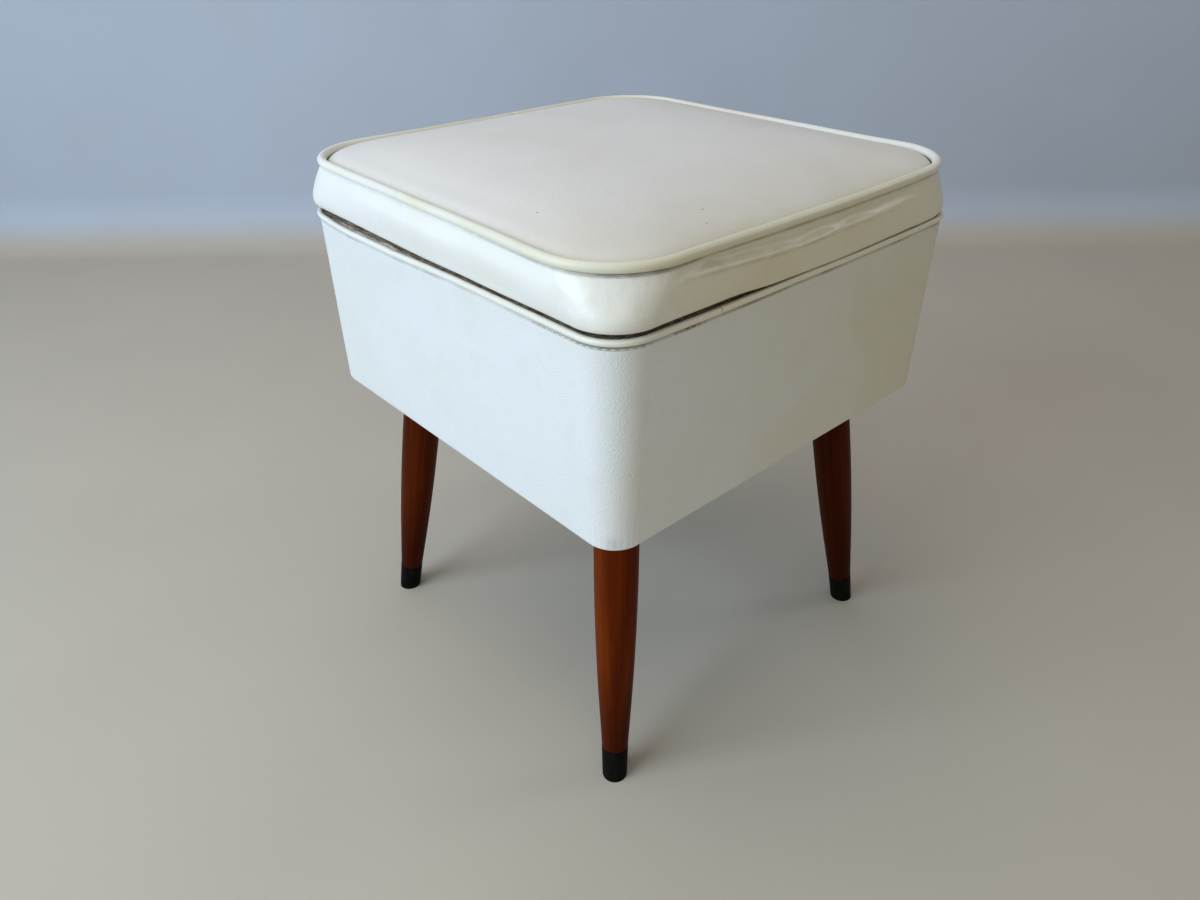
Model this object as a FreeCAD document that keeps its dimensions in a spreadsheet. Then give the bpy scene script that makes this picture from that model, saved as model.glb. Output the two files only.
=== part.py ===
import FreeCAD, Part
import math
import os
import Sketcher

# Sewing ottoman: padded hinged lid on a covered box with splayed turned legs and a sliding tray.
# Frame: millimetres, +Z up, front -Y, origin on the floor below the middle.

vector = FreeCAD.Vector
doc = FreeCAD.newDocument("sewing_ottoman")
dims = doc.addObject("Spreadsheet::Sheet", "dims")

# Driving dimensions: alias, value, what it sets.
driving_sizes = [
    ("rim_width", 356, "covered box across the rim"),
    ("base_taper", 2, "bottom of the covered box inside its rim, each side"),
    ("rim_corner", 28, "corner radius at the rim"),
    ("base_corner", 22, "corner radius at the bottom"),
    ("underside", 244.5, "height of the underside above the floor"),
    ("body_height", 142.5, "underside to rim"),
    ("vinyl", 1, "thickness of the vinyl"),
    ("fit_gap", 0.05, "gap between pieces that are seated on each other"),
    ("wall", 6, "fibreboard wall"),
    ("board_thick", 12, "bottom board"),
    ("turn_under", 16, "width of the cover turned under the bottom"),
    ("cover_edge", 1.6, "rounding of the cover's lower edge"),
    ("lining", 0.8, "wall lining"),
    ("floor_card", 1.5, "card on the floor of the box"),
    ("rim_cord", 4.8, "diameter of the rim welt"),
    ("rim_cord_inset", 0.5, "rim welt centre inside the face of the cover"),
    ("tail_width", 13, "flat tail of the rim welt"),
    ("strip_width", 10, "tack strip"),
    ("strip_thick", 1, "tack strip"),
    ("strip_corner", 32, "corner radius of the tack strip's inner edge"),
    ("cleat_width", 16, "rim cleat"),
    ("cleat_height", 24, "rim cleat"),
    ("buffer_diameter", 7, "lid buffer"),
    ("buffer_from_side", 68, "front buffers from the side of the rim"),
    ("buffer_setback", 40, "side buffers ahead of the middle"),
    ("buffer_gap", 0.2, "buffer below the closed lid"),
    ("leg_inset", 52.6, "leg axis at the underside, from the edge of the box"),
    ("leg_splay", 10.4, "lean of each leg along the diagonal, degrees"),
    ("leg_diameter", 33, "leg at the top"),
    ("leg_straight", 40, "underside to the start of the belly curve"),
    ("knee_rise", 77.6, "floor to the end of the belly curve, along the leg"),
    ("knee_diameter", 26.2, "leg at the end of the belly curve"),
    ("tip_length", 28, "floor to the top of the tip, along the leg"),
    ("ankle_diameter", 20.6, "leg at the top of the tip"),
    ("tip_end_diameter", 19.2, "tip at the floor"),
    ("tip_proud", 0.2, "tip wider than the leg all round"),
    ("tenon_diameter", 17, "leg end inside the tip"),
    ("tenon_length", 21, "leg end inside the tip"),
    ("seat_clearance", 0.8, "edge of the leg top below the leg plate"),
    ("plate_length", 72, "leg plate along the diagonal"),
    ("plate_width", 52, "leg plate across the diagonal"),
    ("plate_thick", 2.2, "leg plate"),
    ("plate_corner", 8, "corner radius of the leg plate"),
    ("boss_diameter", 26, "sloped boss of the leg plate"),
    ("bolt_diameter", 8, "leg bolt"),
    ("bolt_in_leg", 32, "leg bolt below the leg top"),
    ("bolt_end_gap", 3, "end of the leg bolt below the end of its blind hole"),
    ("bolt_clearance", 0.05, "gap round the bolt"),
    ("bolt_pocket", 14, "diameter of the blind hole for the bolt in the bottom board"),
    ("bolt_pocket_cover", 3, "bottom board left above the blind hole"),
    ("plate_screw_diameter", 4, "leg plate screw shank"),
    ("plate_screw_head", 7.6, "leg plate screw head"),
    ("plate_screw_edge", 8.5, "leg plate screw from the edges of the plate"),
    ("hinge_from_side", 83, "middle of a hinge from the side of the rim"),
    ("hinge_length", 40, "hinge along its axis"),
    ("hinge_leaf_width", 17, "leaf, from the hinge axis"),
    ("leaf_thick", 1.6, "hinge leaf"),
    ("hinge_rise", 3.2, "hinge axis above the face that the leaf lies on"),
    ("hinge_inset", 0.4, "hinge axis inside the face of the cover"),
    ("knuckle_diameter", 5.8, "hinge knuckle"),
    ("knuckle_gap", 0.2, "gap between knuckles along the axis"),
    ("middle_knuckle", 14, "length of the knuckle on the lid leaf"),
    ("pin_diameter", 2.8, "hinge pin"),
    ("pin_running_gap", 0.05, "gap round the pin in the lid leaf"),
    ("pin_fixed_gap", 0.01, "gap round the pin in the body leaf"),
    ("leaf_relief", 0.5, "leaf edge clear of the other leaf's knuckle"),
    ("hinge_screw_diameter", 2.6, "hinge screw shank"),
    ("hinge_screw_head", 5.2, "hinge screw head"),
    ("hinge_screw_end", 7, "hinge screw from the end of its leaf"),
    ("screw_cover", 2.2, "board left beyond the point of a screw"),
    ("screw_clearance", 0.06, "gap round a screw"),
    ("welt_notch_gap", 1, "gap in the rim welt at each end of a hinge"),
    ("hem_overhang", 0.3, "lower edge of the lid outside the face of the box"),
    ("hem_corner", 36, "corner radius at the lower edge of the band"),
    ("hem_flange", 22, "width of the band turned under the lid board"),
    ("lid_bulge", 2, "band outside its lower edge"),
    ("lid_welt_inset", 1.8, "middle of the lid welt inside the face of the box"),
    ("lid_welt_corner", 55, "corner radius of the lid welt"),
    ("lid_welt_rise", 32.8, "middle of the lid welt above the lower edge of the band"),
    ("lid_cord", 6.6, "diameter of the lid welt"),
    ("lid_board", 9, "lid board"),
    ("lid_board_inset", 1.6, "edge of the lid board inside the band's lower edge"),
    ("lid_lining", 1.5, "card on the underside of the lid"),
    ("crown", 18, "top of the cushion above the middle of the welt"),
    ("tray_depth", 140, "tray, front to back"),
    ("tray_height", 42, "tray"),
    ("tray_drop", 6, "top of the tray below the rim"),
    ("tray_side", 6, "side of the tray"),
    ("tray_floor", 3, "floor of the tray"),
    ("tray_divider", 4, "divider of the tray"),
    ("tray_divider_spread", 96, "distance between the middles of the dividers"),
    ("tray_side_gap", 3, "tray clear of the cleats at each side"),
    ("tray_end_gap", 1, "tray clear of the cleats at each end of its travel"),
    ("runner_height", 14, "tray runner"),
    ("runner_lap", 8, "runner below the tray"),
    ("runner_end_gap", 14, "end of a runner from the front and back cleats"),
    ("peg_diameter", 5, "spool peg"),
    ("peg_height", 30, "spool peg above the tray floor"),
    ("peg_spacing_across", 44, "distance between pegs, left to right"),
    ("peg_spacing_deep", 40, "distance between pegs, front to back"),
]
for row, (alias, number, note) in enumerate(driving_sizes, start=1):
    dims.set(f"A{row}", note)
    dims.set(f"B{row}", str(number))
    dims.setAlias(f"B{row}", alias)
doc.recompute()

# Corners of the box in plan: name, side along X, side along Y, turn of the outward diagonal.
corners = [
    ("front_left", -1, -1, -135),
    ("front_right", 1, -1, -45),
    ("back_left", -1, 1, 135),
    ("back_right", 1, 1, 45),
]

# Sizes worked out from the driving ones, kept as expressions.
rim_half = "(dims.rim_width / 2)"
base_half = f"({rim_half} - dims.base_taper)"
rim_top = "(dims.underside + dims.body_height)"
strip_top = f"({rim_top} + dims.vinyl + dims.strip_thick)"
hinge_half_spacing = f"({rim_half} - dims.hinge_from_side)"
hinge_axis_y = f"({rim_half} - dims.hinge_inset)"
hinge_axis_z = f"({strip_top} + dims.hinge_rise)"
hem_bottom = f"({hinge_axis_z} + dims.hinge_rise)"
lid_board_bottom = f"({hem_bottom} + dims.vinyl)"
lid_board_top = f"({lid_board_bottom} + dims.lid_board)"
welt_level = f"({hem_bottom} + dims.lid_welt_rise)"
band_top = f"({welt_level} - dims.lid_cord / 2 - dims.fit_gap)"
hem_half = f"({rim_half} + dims.hem_overhang)"
lid_welt_half = f"({rim_half} - dims.lid_welt_inset)"
lid_inner_half = f"({hem_half} - dims.hem_flange)"
lid_inner_corner = "max(dims.hem_corner - dims.hem_flange; 4)"
leg_half_spread = f"({base_half} - dims.leg_inset)"
leg_reach = "(dims.underside / cos(dims.leg_splay * 1 deg))"
tip_top = f"({leg_reach} - dims.tip_length)"
leg_seat = ("(dims.plate_thick + dims.leg_diameter / 2 * sin(dims.leg_splay * 1 deg)"
            " + dims.seat_clearance)")
bolt_pocket_depth = "(dims.vinyl + dims.board_thick - dims.bolt_pocket_cover)"
plate_screw_length = "(dims.plate_thick + dims.vinyl + dims.board_thick - dims.screw_cover)"
hinge_screw_length = "(dims.leaf_thick + dims.vinyl + dims.lid_board - dims.screw_cover)"
floor_top = "(dims.underside + dims.vinyl + dims.board_thick + dims.floor_card)"


def face_half(level):
    return f"({base_half} + dims.base_taper * ({level} - dims.underside) / dims.body_height)"


def face_corner(level):
    return (f"(dims.base_corner + (dims.rim_corner - dims.base_corner)"
            f" * ({level} - dims.underside) / dims.body_height)")


cover_skin = "(dims.vinyl + dims.fit_gap)"
wall_skin = f"({cover_skin} + dims.wall + dims.fit_gap)"
cleat_bottom = f"({rim_top} - dims.cleat_height)"
cleat_outer = f"({face_half(cleat_bottom)} - {wall_skin})"
cleat_inner = f"({cleat_outer} - dims.cleat_width)"
tray_half = f"({cleat_inner} - dims.tray_side_gap)"
tray_top = f"({rim_top} - dims.tray_drop)"
tray_bottom = f"({tray_top} - dims.tray_height)"
tray_back_y = f"({cleat_inner} - dims.tray_end_gap)"
tray_front_y = f"({tray_back_y} - dims.tray_depth)"
runner_top = f"({tray_bottom} - dims.fit_gap)"
runner_bottom = f"({runner_top} - dims.runner_height)"
runner_outer = f"({face_half(runner_bottom)} - {wall_skin} - dims.lining - dims.fit_gap)"
runner_inner = f"({tray_half} - dims.runner_lap)"


def value(expression):
    return float(dims.evalExpression(expression))


# Helpers for bodies and sketches.
def new_body(label):
    body = doc.addObject("PartDesign::Body", label)
    body.Label = label
    return body


def new_sketch(body, name, role, lift="0", turn=None):
    sketch = body.newObject("Sketcher::SketchObject", f"{body.Name}_{name}")
    plane = next(item for item in body.Origin.OriginFeatures if item.Role == role)
    sketch.AttachmentSupport = [(plane, "")]
    sketch.MapMode = "FlatFace"
    sketch.setExpression("AttachmentOffset.Base.z", lift)
    if turn:
        sketch.AttachmentOffset.Rotation = FreeCAD.Rotation(vector(0, 0, 1), 0)
        sketch.setExpression("AttachmentOffset.Rotation.Angle", f"{turn} * 1 deg")
    return sketch


def bind(sketch, kind, arguments, name, expression):
    index = sketch.addConstraint(Sketcher.Constraint(kind, *arguments, value(expression)))
    sketch.renameConstraint(index, name)
    sketch.setExpression(f"Constraints.{name}", expression)


def rounded_rectangle(body, name, half_x, half_y, corner, lift):
    # Four lines and four tangent corner arcs about the origin.
    sketch = new_sketch(body, name, "XY_Plane", lift)
    wide = value(half_x)
    deep = value(half_y)
    radius = value(corner)
    inner_x = wide - radius
    inner_y = deep - radius
    ends = [(-inner_x, -deep, inner_x, -deep), (wide, -inner_y, wide, inner_y),
            (inner_x, deep, -inner_x, deep), (-wide, inner_y, -wide, -inner_y)]
    centres = [(inner_x, -inner_y), (inner_x, inner_y), (-inner_x, inner_y), (-inner_x, -inner_y)]
    for number in range(4):
        x0, y0, x1, y1 = ends[number]
        sketch.addGeometry(Part.LineSegment(vector(x0, y0, 0), vector(x1, y1, 0)))
        circle = Part.Circle(vector(*centres[number], 0), vector(0, 0, 1), radius)
        start = math.radians(90 * number - 90)
        sketch.addGeometry(Part.ArcOfCircle(circle, start, start + math.pi / 2))
    for number in range(4):
        line = 2 * number
        arc = line + 1
        following = (line + 2) % 8
        sketch.addConstraint(Sketcher.Constraint("Tangent", line, 2, arc, 1))
        sketch.addConstraint(Sketcher.Constraint("Tangent", arc, 2, following, 1))
        sketch.addConstraint(Sketcher.Constraint("Horizontal" if number % 2 == 0 else "Vertical", line))
        if number:
            sketch.addConstraint(Sketcher.Constraint("Equal", 1, arc))
    bind(sketch, "Radius", (1,), "corner", corner)
    bind(sketch, "DistanceX", (-1, 1, 2, 1), "right", half_x)
    bind(sketch, "DistanceX", (6, 1, -1, 1), "left", half_x)
    bind(sketch, "DistanceY", (-1, 1, 4, 1), "back", half_y)
    bind(sketch, "DistanceY", (0, 1, -1, 1), "front", half_y)
    return sketch


def rounded_square(body, name, half, corner, lift):
    return rounded_rectangle(body, name, half, half, corner, lift)


def outline(body, name, role, points, lift="0", turn=None, arc_after=None):
    # Closed outline through the points; the edge after point arc_after is an arc, tangent to the one before.
    sketch = new_sketch(body, name, role, lift, turn)
    spots = [vector(value(x), value(y), 0) for x, y in points]
    count = len(spots)
    first_end = []
    last_end = []
    for number in range(count):
        start = spots[number]
        stop = spots[(number + 1) % count]
        if number != arc_after:
            sketch.addGeometry(Part.LineSegment(start, stop))
            first_end.append(1)
            last_end.append(2)
            continue
        along = (start - spots[number - 1]).normalize()
        aside = vector(-along.y, along.x, 0)
        chord = stop - start
        reach = chord.Length ** 2 / (2 * chord.dot(aside))
        middle = start + aside * reach
        circle = Part.Circle(middle, vector(0, 0, 1), abs(reach))
        turns_left = reach > 0
        low, high = (start, stop) if turns_left else (stop, start)
        low_angle = math.atan2(low.y - middle.y, low.x - middle.x)
        high_angle = math.atan2(high.y - middle.y, high.x - middle.x)
        sketch.addGeometry(Part.ArcOfCircle(circle, low_angle, high_angle))
        first_end.append(1 if turns_left else 2)
        last_end.append(2 if turns_left else 1)
    for number in range(count):
        following = (number + 1) % count
        kind = "Tangent" if following == arc_after else "Coincident"
        sketch.addConstraint(
            Sketcher.Constraint(kind, number, last_end[number], following, first_end[following]))
    for number, (x, y) in enumerate(points):
        bind(sketch, "DistanceX", (-1, 1, number, first_end[number]), f"across_{number}", x)
        bind(sketch, "DistanceY", (-1, 1, number, first_end[number]), f"up_{number}", y)
    return sketch


def circle_sketch(body, name, role, radius, x, y, lift="0"):
    sketch = new_sketch(body, name, role, lift)
    sketch.addGeometry(Part.Circle(vector(value(x), value(y), 0), vector(0, 0, 1), value(radius)))
    bind(sketch, "Radius", (0,), "radius", radius)
    bind(sketch, "DistanceX", (-1, 1, 0, 3), "across", x)
    bind(sketch, "DistanceY", (-1, 1, 0, 3), "up", y)
    return sketch


# Helpers for features.
def pad(body, sketch, length, reverse=False):
    feature = body.newObject("PartDesign::Pad", f"{sketch.Name}_pad")
    feature.Profile = sketch
    feature.setExpression("Length", length)
    feature.Reversed = reverse
    return feature


def pocket(body, sketch, length, reverse=False, both_ways=False):
    feature = body.newObject("PartDesign::Pocket", f"{sketch.Name}_pocket")
    feature.Profile = sketch
    feature.setExpression("Length", length)
    feature.Reversed = reverse
    feature.Midplane = both_ways
    return feature


def loft(body, kind, sketches, ruled=True):
    feature = body.newObject(f"PartDesign::{kind}", f"{sketches[0].Name}_loft")
    feature.Profile = sketches[0]
    feature.Sections = sketches[1:]
    feature.Ruled = ruled
    return feature


def spin(body, kind, sketch):
    feature = body.newObject(f"PartDesign::{kind}", f"{sketch.Name}_spin")
    feature.Profile = sketch
    feature.ReferenceAxis = (sketch, ["V_Axis"])
    feature.Angle = 360
    return feature


def place(item, x, y, z, turn=0):
    item.Placement = FreeCAD.Placement(vector(0, 0, 0), FreeCAD.Rotation(vector(0, 0, 1), turn))
    item.setExpression("Placement.Base.x", x)
    item.setExpression("Placement.Base.y", y)
    item.setExpression("Placement.Base.z", z)


def bar(label, x0, x1, y0, y1, z0, z1):
    item = doc.addObject("Part::Box", label)
    item.Label = label
    item.setExpression("Length", f"{x1} - {x0}")
    item.setExpression("Width", f"{y1} - {y0}")
    item.setExpression("Height", f"{z1} - {z0}")
    place(item, x0, y0, z0)
    return item


def post_group(label, spots, radius, bottom, height):
    posts = []
    for number, (x, y) in enumerate(spots):
        post = doc.addObject("Part::Cylinder", f"{label}_{number}")
        post.setExpression("Radius", radius)
        post.setExpression("Height", height)
        place(post, x, y, bottom)
        posts.append(post)
    group = doc.addObject("Part::Compound", label)
    group.Label = label
    group.Links = posts
    return group


def drilled(blank, label, tools):
    blank.Label = f"{label}_blank"
    item = blank
    for number, tool in enumerate(tools):
        cut = doc.addObject("Part::Cut", f"{label}_cut_{number}")
        cut.Base = item
        cut.Tool = tool
        item = cut
    item.Label = label
    return item


def fixed_shape(label, shape):
    item = doc.addObject("Part::Feature", label)
    item.Label = label
    item.Shape = shape
    return item


def screw_shape(shank, head, length, clearance):
    # Countersunk wood screw along -Z, top of its head at the origin; a clearance makes its hole.
    shank_radius = shank / 2 + clearance
    head_radius = head / 2 + clearance
    point = -length - clearance
    cone = head_radius - shank_radius
    corners_in_section = [
        vector(0, 0, 0), vector(head_radius, 0, 0), vector(shank_radius, 0, -cone),
        vector(shank_radius, 0, point + 2 * shank_radius), vector(0, 0, point), vector(0, 0, 0)]
    section = Part.Face(Part.makePolygon(corners_in_section))
    shape = section.revolve(vector(0, 0, 0), vector(0, 0, 1), 360)
    if clearance == 0:
        slot = Part.makeBox(head, shank / 5, shank / 4, vector(-head / 2, -shank / 10, -shank / 4))
        shape = shape.cut(slot)
    return shape


def screws_and_holes(label, size_name, length, spots, points_up):
    # The screws as one group, and the same group with a clearance to cut their holes.
    turn = FreeCAD.Rotation(vector(1, 0, 0), 180 if points_up else 0)
    groups = []
    for name, clearance in ((label, 0), (f"{label}_holes", value("dims.screw_clearance"))):
        screws = []
        for spot in spots:
            shape = screw_shape(value(f"dims.{size_name}_diameter"), value(f"dims.{size_name}_head"),
                                value(length), clearance)
            shape.Placement = FreeCAD.Placement(spot, turn)
            screws.append(shape)
        groups.append(fixed_shape(name, Part.makeCompound(screws)))
    return groups


# Box: cover, wall, lining, bottom.
def make_body_cover():
    body = new_body("body_cover")
    inner_floor = "(dims.underside + dims.vinyl)"
    loft(body, "AdditiveLoft", [
        rounded_square(body, "outside_low", base_half, "dims.base_corner", "dims.underside"),
        rounded_square(body, "outside_high", rim_half, "dims.rim_corner", rim_top)])
    loft(body, "SubtractiveLoft", [
        rounded_square(body, "inside_low", f"{face_half(inner_floor)} - dims.vinyl",
                       f"{face_corner(inner_floor)} - dims.vinyl", inner_floor),
        rounded_square(body, "inside_high", f"{rim_half} - dims.vinyl",
                       "dims.rim_corner - dims.vinyl", rim_top)])
    opening = rounded_square(body, "opening", f"{base_half} - dims.turn_under",
                             "dims.base_corner / 2", "dims.underside")
    hollow = pocket(body, opening, "2 * dims.vinyl", reverse=True)
    doc.recompute()
    level = value("dims.underside")
    inside = value(f"{base_half} - dims.turn_under / 2")
    edges = []
    for number, edge in enumerate(hollow.Shape.Edges, start=1):
        box = edge.BoundBox
        reach = max(abs(edge.CenterOfMass.x), abs(edge.CenterOfMass.y))
        if abs(box.ZMax - level) < 1e-6 and reach > inside:
            edges.append(f"Edge{number}")
    rounding = body.newObject("PartDesign::Fillet", "body_cover_lower_edge")
    rounding.Base = (hollow, edges)
    rounding.setExpression("Radius", "dims.cover_edge")
    return body


def make_wall_ring(label, low, high, outer_skin, thickness):
    # Tapered ring that follows the face of the cover, outer_skin inside it.
    body = new_body(label)
    for kind, skin in (("AdditiveLoft", outer_skin), ("SubtractiveLoft", f"({outer_skin} + {thickness})")):
        sections = []
        for end, level in (("low", low), ("high", high)):
            sections.append(rounded_square(body, f"{kind}_{end}", f"{face_half(level)} - {skin}",
                                           f"{face_corner(level)} - {skin}", level))
        loft(body, kind, sections)
    return body


def make_sheet(label, half, corner, bottom, thickness):
    body = new_body(label)
    pad(body, rounded_square(body, "outline", half, corner, bottom), thickness)
    return body


def make_box_boards(plate_screw_holes, bolt_pockets):
    inside_bottom = "(dims.underside + dims.vinyl)"
    board_half = f"{face_half(inside_bottom)} - {wall_skin}"
    board_corner = f"{face_corner(inside_bottom)} - {wall_skin}"
    board = make_sheet("bottom_board_sheet", board_half, board_corner, inside_bottom, "dims.board_thick")
    card_bottom = f"({inside_bottom} + dims.board_thick)"
    card = make_sheet("floor_card", board_half, board_corner, card_bottom, "dims.floor_card")
    dust_half = f"{base_half} - dims.turn_under - dims.fit_gap"
    dust = make_sheet("dust_cover_sheet", dust_half, "dims.base_corner / 2", "dims.underside", "dims.vinyl")
    tools = [plate_screw_holes, bolt_pockets]
    return [drilled(board, "bottom_board", tools), card, drilled(dust, "dust_cover", tools)]


# Rim: welt, tack strip, cleats, buffers.
def welt_ring(body, name, half, corner, level, radius):
    # Round cord swept along a rounded square; the section stands where the path starts.
    path = rounded_square(body, f"{name}_path", half, corner, level)
    section = circle_sketch(body, f"{name}_section", "YZ_Plane", radius, f"-({half})", level,
                            f"-({half} - {corner})")
    feature = body.newObject("PartDesign::AdditivePipe", f"{name}_pipe")
    feature.Profile = section
    feature.Spine = path
    return feature


def make_rim_welt():
    body = new_body("rim_welt")
    cord_half = f"({rim_half} - dims.rim_cord_inset)"
    cord_corner = "(dims.rim_corner - dims.rim_cord_inset)"
    cord_level = f"({rim_top} + dims.rim_cord / 2)"
    pad(body, rounded_square(body, "tail_outside", cord_half, cord_corner, rim_top), "dims.vinyl")
    hole = rounded_square(body, "tail_inside", f"{cord_half} - dims.tail_width",
                          f"max({cord_corner} - dims.tail_width; 4)", rim_top)
    pocket(body, hole, "2 * dims.vinyl", reverse=True)
    welt_ring(body, "cord", cord_half, cord_corner, cord_level, "dims.rim_cord / 2")
    reach = "(dims.hinge_length / 2 + dims.welt_notch_gap)"
    front_edge = f"({cord_half} - dims.rim_cord)"
    back_edge = f"({cord_half} + dims.rim_cord)"
    for side, sign in (("left", "-1"), ("right", "1")):
        middle = f"{sign} * {hinge_half_spacing}"
        notch = outline(body, f"notch_{side}", "XY_Plane", [
            (f"{middle} - {reach}", front_edge), (f"{middle} + {reach}", front_edge),
            (f"{middle} + {reach}", back_edge), (f"{middle} - {reach}", back_edge)],
            lift=f"{rim_top} + dims.vinyl")
        pocket(body, notch, "dims.rim_cord", reverse=True)
    return body


def make_tack_strip():
    # Wider in the corners, where it closes the view between the ends of the cleats.
    body = new_body("rim_tack_strip")
    edge = "(dims.rim_cord_inset + dims.rim_cord / 2 + dims.fit_gap)"
    bottom = f"({rim_top} + dims.vinyl)"
    pad(body, rounded_square(body, "outside", f"{rim_half} - {edge}", f"dims.rim_corner - {edge}", bottom),
        "dims.strip_thick")
    inner = f"({edge} + dims.strip_width)"
    hole = rounded_square(body, "inside", f"{rim_half} - {inner}", "dims.strip_corner", bottom)
    pocket(body, hole, "2 * dims.strip_thick", reverse=True)
    return body


def make_cleats(hinge_screw_holes):
    # Each cleat ends where the wall starts to turn.
    reach = f"({rim_half} - dims.rim_corner)"
    low = f"-{reach}"
    front = bar("cleat_front", low, reach, f"-{cleat_outer}", f"-{cleat_inner}", cleat_bottom, rim_top)
    back = bar("cleat_back_bar", low, reach, cleat_inner, cleat_outer, cleat_bottom, rim_top)
    left = bar("cleat_left", f"-{cleat_outer}", f"-{cleat_inner}", low, reach, cleat_bottom, rim_top)
    right = bar("cleat_right", cleat_inner, cleat_outer, low, reach, cleat_bottom, rim_top)
    return [front, drilled(back, "cleat_back", [hinge_screw_holes]), left, right]


def make_buffers():
    # Each stands on a cleat, midway between the lid lining and the tail of the rim welt.
    tail_edge = f"({rim_half} - dims.rim_cord_inset - dims.tail_width)"
    middle = f"(({lid_inner_half} + {tail_edge}) / 2)"
    half_spread = f"({rim_half} - dims.buffer_from_side)"
    spots = [(f"-{half_spread}", f"-{middle}"), (half_spread, f"-{middle}"),
             (f"-{middle}", "-dims.buffer_setback"), (middle, "-dims.buffer_setback")]
    height = f"{hem_bottom} - {rim_top} - dims.buffer_gap"
    return post_group("lid_buffers", spots, "dims.buffer_diameter / 2", rim_top, height)


# Legs: each is drawn with X outward along the diagonal and its origin on the leg axis at the underside.
def place_at_corner(item, side_x, side_y, turn):
    place(item, f"{side_x} * {leg_half_spread}", f"{side_y} * {leg_half_spread}", "dims.underside", turn)


def make_leg(label):
    body = new_body(label)
    bore = "dims.bolt_diameter / 2 + dims.bolt_clearance"
    bore_end = f"-({leg_seat} + dims.bolt_in_leg + dims.bolt_end_gap)"
    tenon_end = f"-({tip_top} + dims.tenon_length)"
    profile = outline(body, "profile", "XZ_Plane", [
        (bore, f"-{leg_seat}"), ("dims.leg_diameter / 2", f"-{leg_seat}"),
        ("dims.leg_diameter / 2", "-dims.leg_straight"),
        ("dims.knee_diameter / 2", f"-({leg_reach} - dims.knee_rise)"),
        ("dims.ankle_diameter / 2", f"-{tip_top}"), ("dims.tenon_diameter / 2", f"-{tip_top}"),
        ("dims.tenon_diameter / 2", tenon_end), ("0", tenon_end), ("0", bore_end), (bore, bore_end)],
        turn="dims.leg_splay", arc_after=2)
    spin(body, "Revolution", profile)
    return body


def make_tip(label):
    # Cup over the leg end, cut level at the floor.
    body = new_body(label)
    low = f"-({leg_reach} + dims.tip_end_diameter / 2)"
    top = f"-({tip_top} + dims.fit_gap)"
    bore = "dims.tenon_diameter / 2 + dims.fit_gap"
    bore_end = f"-({tip_top} + dims.tenon_length + dims.fit_gap)"
    profile = outline(body, "profile", "XZ_Plane", [
        (bore, top), ("dims.ankle_diameter / 2 + dims.tip_proud", top),
        ("dims.tip_end_diameter / 2", low), ("0", low), ("0", bore_end), (bore, bore_end)],
        turn="dims.leg_splay")
    spin(body, "Revolution", profile)
    wide = "2 * dims.underside"
    ground = outline(body, "ground", "XZ_Plane", [
        (f"-{wide}", f"-{wide}"), (wide, f"-{wide}"),
        (wide, "-dims.underside"), (f"-{wide}", "-dims.underside")])
    pocket(body, ground, "4 * dims.leg_diameter", both_ways=True)
    return body


def make_leg_plate(label):
    # Flat flange with a boss cut square to the leaning leg.
    body = new_body(f"{label}_blank")
    flange = rounded_rectangle(body, "flange", "dims.plate_length / 2", "dims.plate_width / 2",
                               "dims.plate_corner", "0")
    pad(body, flange, "dims.plate_thick", reverse=True)
    boss = circle_sketch(body, "boss", "XY_Plane", "dims.boss_diameter / 2", "0", "0")
    pad(body, boss, f"2 * {leg_seat}", reverse=True)
    reach = "dims.boss_diameter"
    below_seat = outline(body, "seat", "XZ_Plane", [
        (f"-{reach}", f"-4 * {leg_seat}"), (reach, f"-4 * {leg_seat}"),
        (reach, f"-{leg_seat}"), (f"-{reach}", f"-{leg_seat}")], turn="dims.leg_splay")
    pocket(body, below_seat, f"2 * {reach}", both_ways=True)
    hole_radius = "(dims.bolt_diameter / 2 + dims.bolt_clearance)"
    hole = outline(body, "bore", "XZ_Plane", [
        ("0", f"-3 * {leg_seat}"), (hole_radius, f"-3 * {leg_seat}"),
        (hole_radius, f"2 * {leg_seat}"), ("0", f"2 * {leg_seat}")], turn="dims.leg_splay")
    spin(body, "Groove", hole)
    return body


def leg_frames():
    frames = []
    for name, side_x, side_y, turn in corners:
        spread = value(leg_half_spread)
        spot = vector(side_x * spread, side_y * spread, value("dims.underside"))
        frames.append(FreeCAD.Placement(spot, FreeCAD.Rotation(vector(0, 0, 1), turn)))
    return frames


def leg_plate_screw_spots():
    half_along = value("dims.plate_length / 2 - dims.plate_screw_edge")
    half_across = value("dims.plate_width / 2 - dims.plate_screw_edge")
    spots = []
    for frame in leg_frames():
        for along in (-half_along, half_along):
            for across in (-half_across, half_across):
                spots.append(frame.multVec(vector(along, across, -value("dims.plate_thick"))))
    return spots


def make_leg_bolts():
    bolts = []
    low = -value(f"{leg_seat} + dims.bolt_in_leg")
    length = value(f"{bolt_pocket_depth} - dims.bolt_end_gap") - low
    lean = FreeCAD.Rotation(vector(0, 1, 0), -value("dims.leg_splay"))
    for frame in leg_frames():
        bolt = Part.makeCylinder(value("dims.bolt_diameter") / 2, length, vector(0, 0, low))
        bolt.Placement = frame.multiply(FreeCAD.Placement(vector(0, 0, 0), lean))
        bolts.append(bolt)
    return fixed_shape("leg_bolts", Part.makeCompound(bolts))


def make_bolt_pockets():
    pockets = []
    for frame in leg_frames():
        hole = Part.makeCylinder(value("dims.bolt_pocket") / 2, value(bolt_pocket_depth))
        hole.Placement = frame
        pockets.append(hole)
    return fixed_shape("bolt_pockets", Part.makeCompound(pockets))


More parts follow.
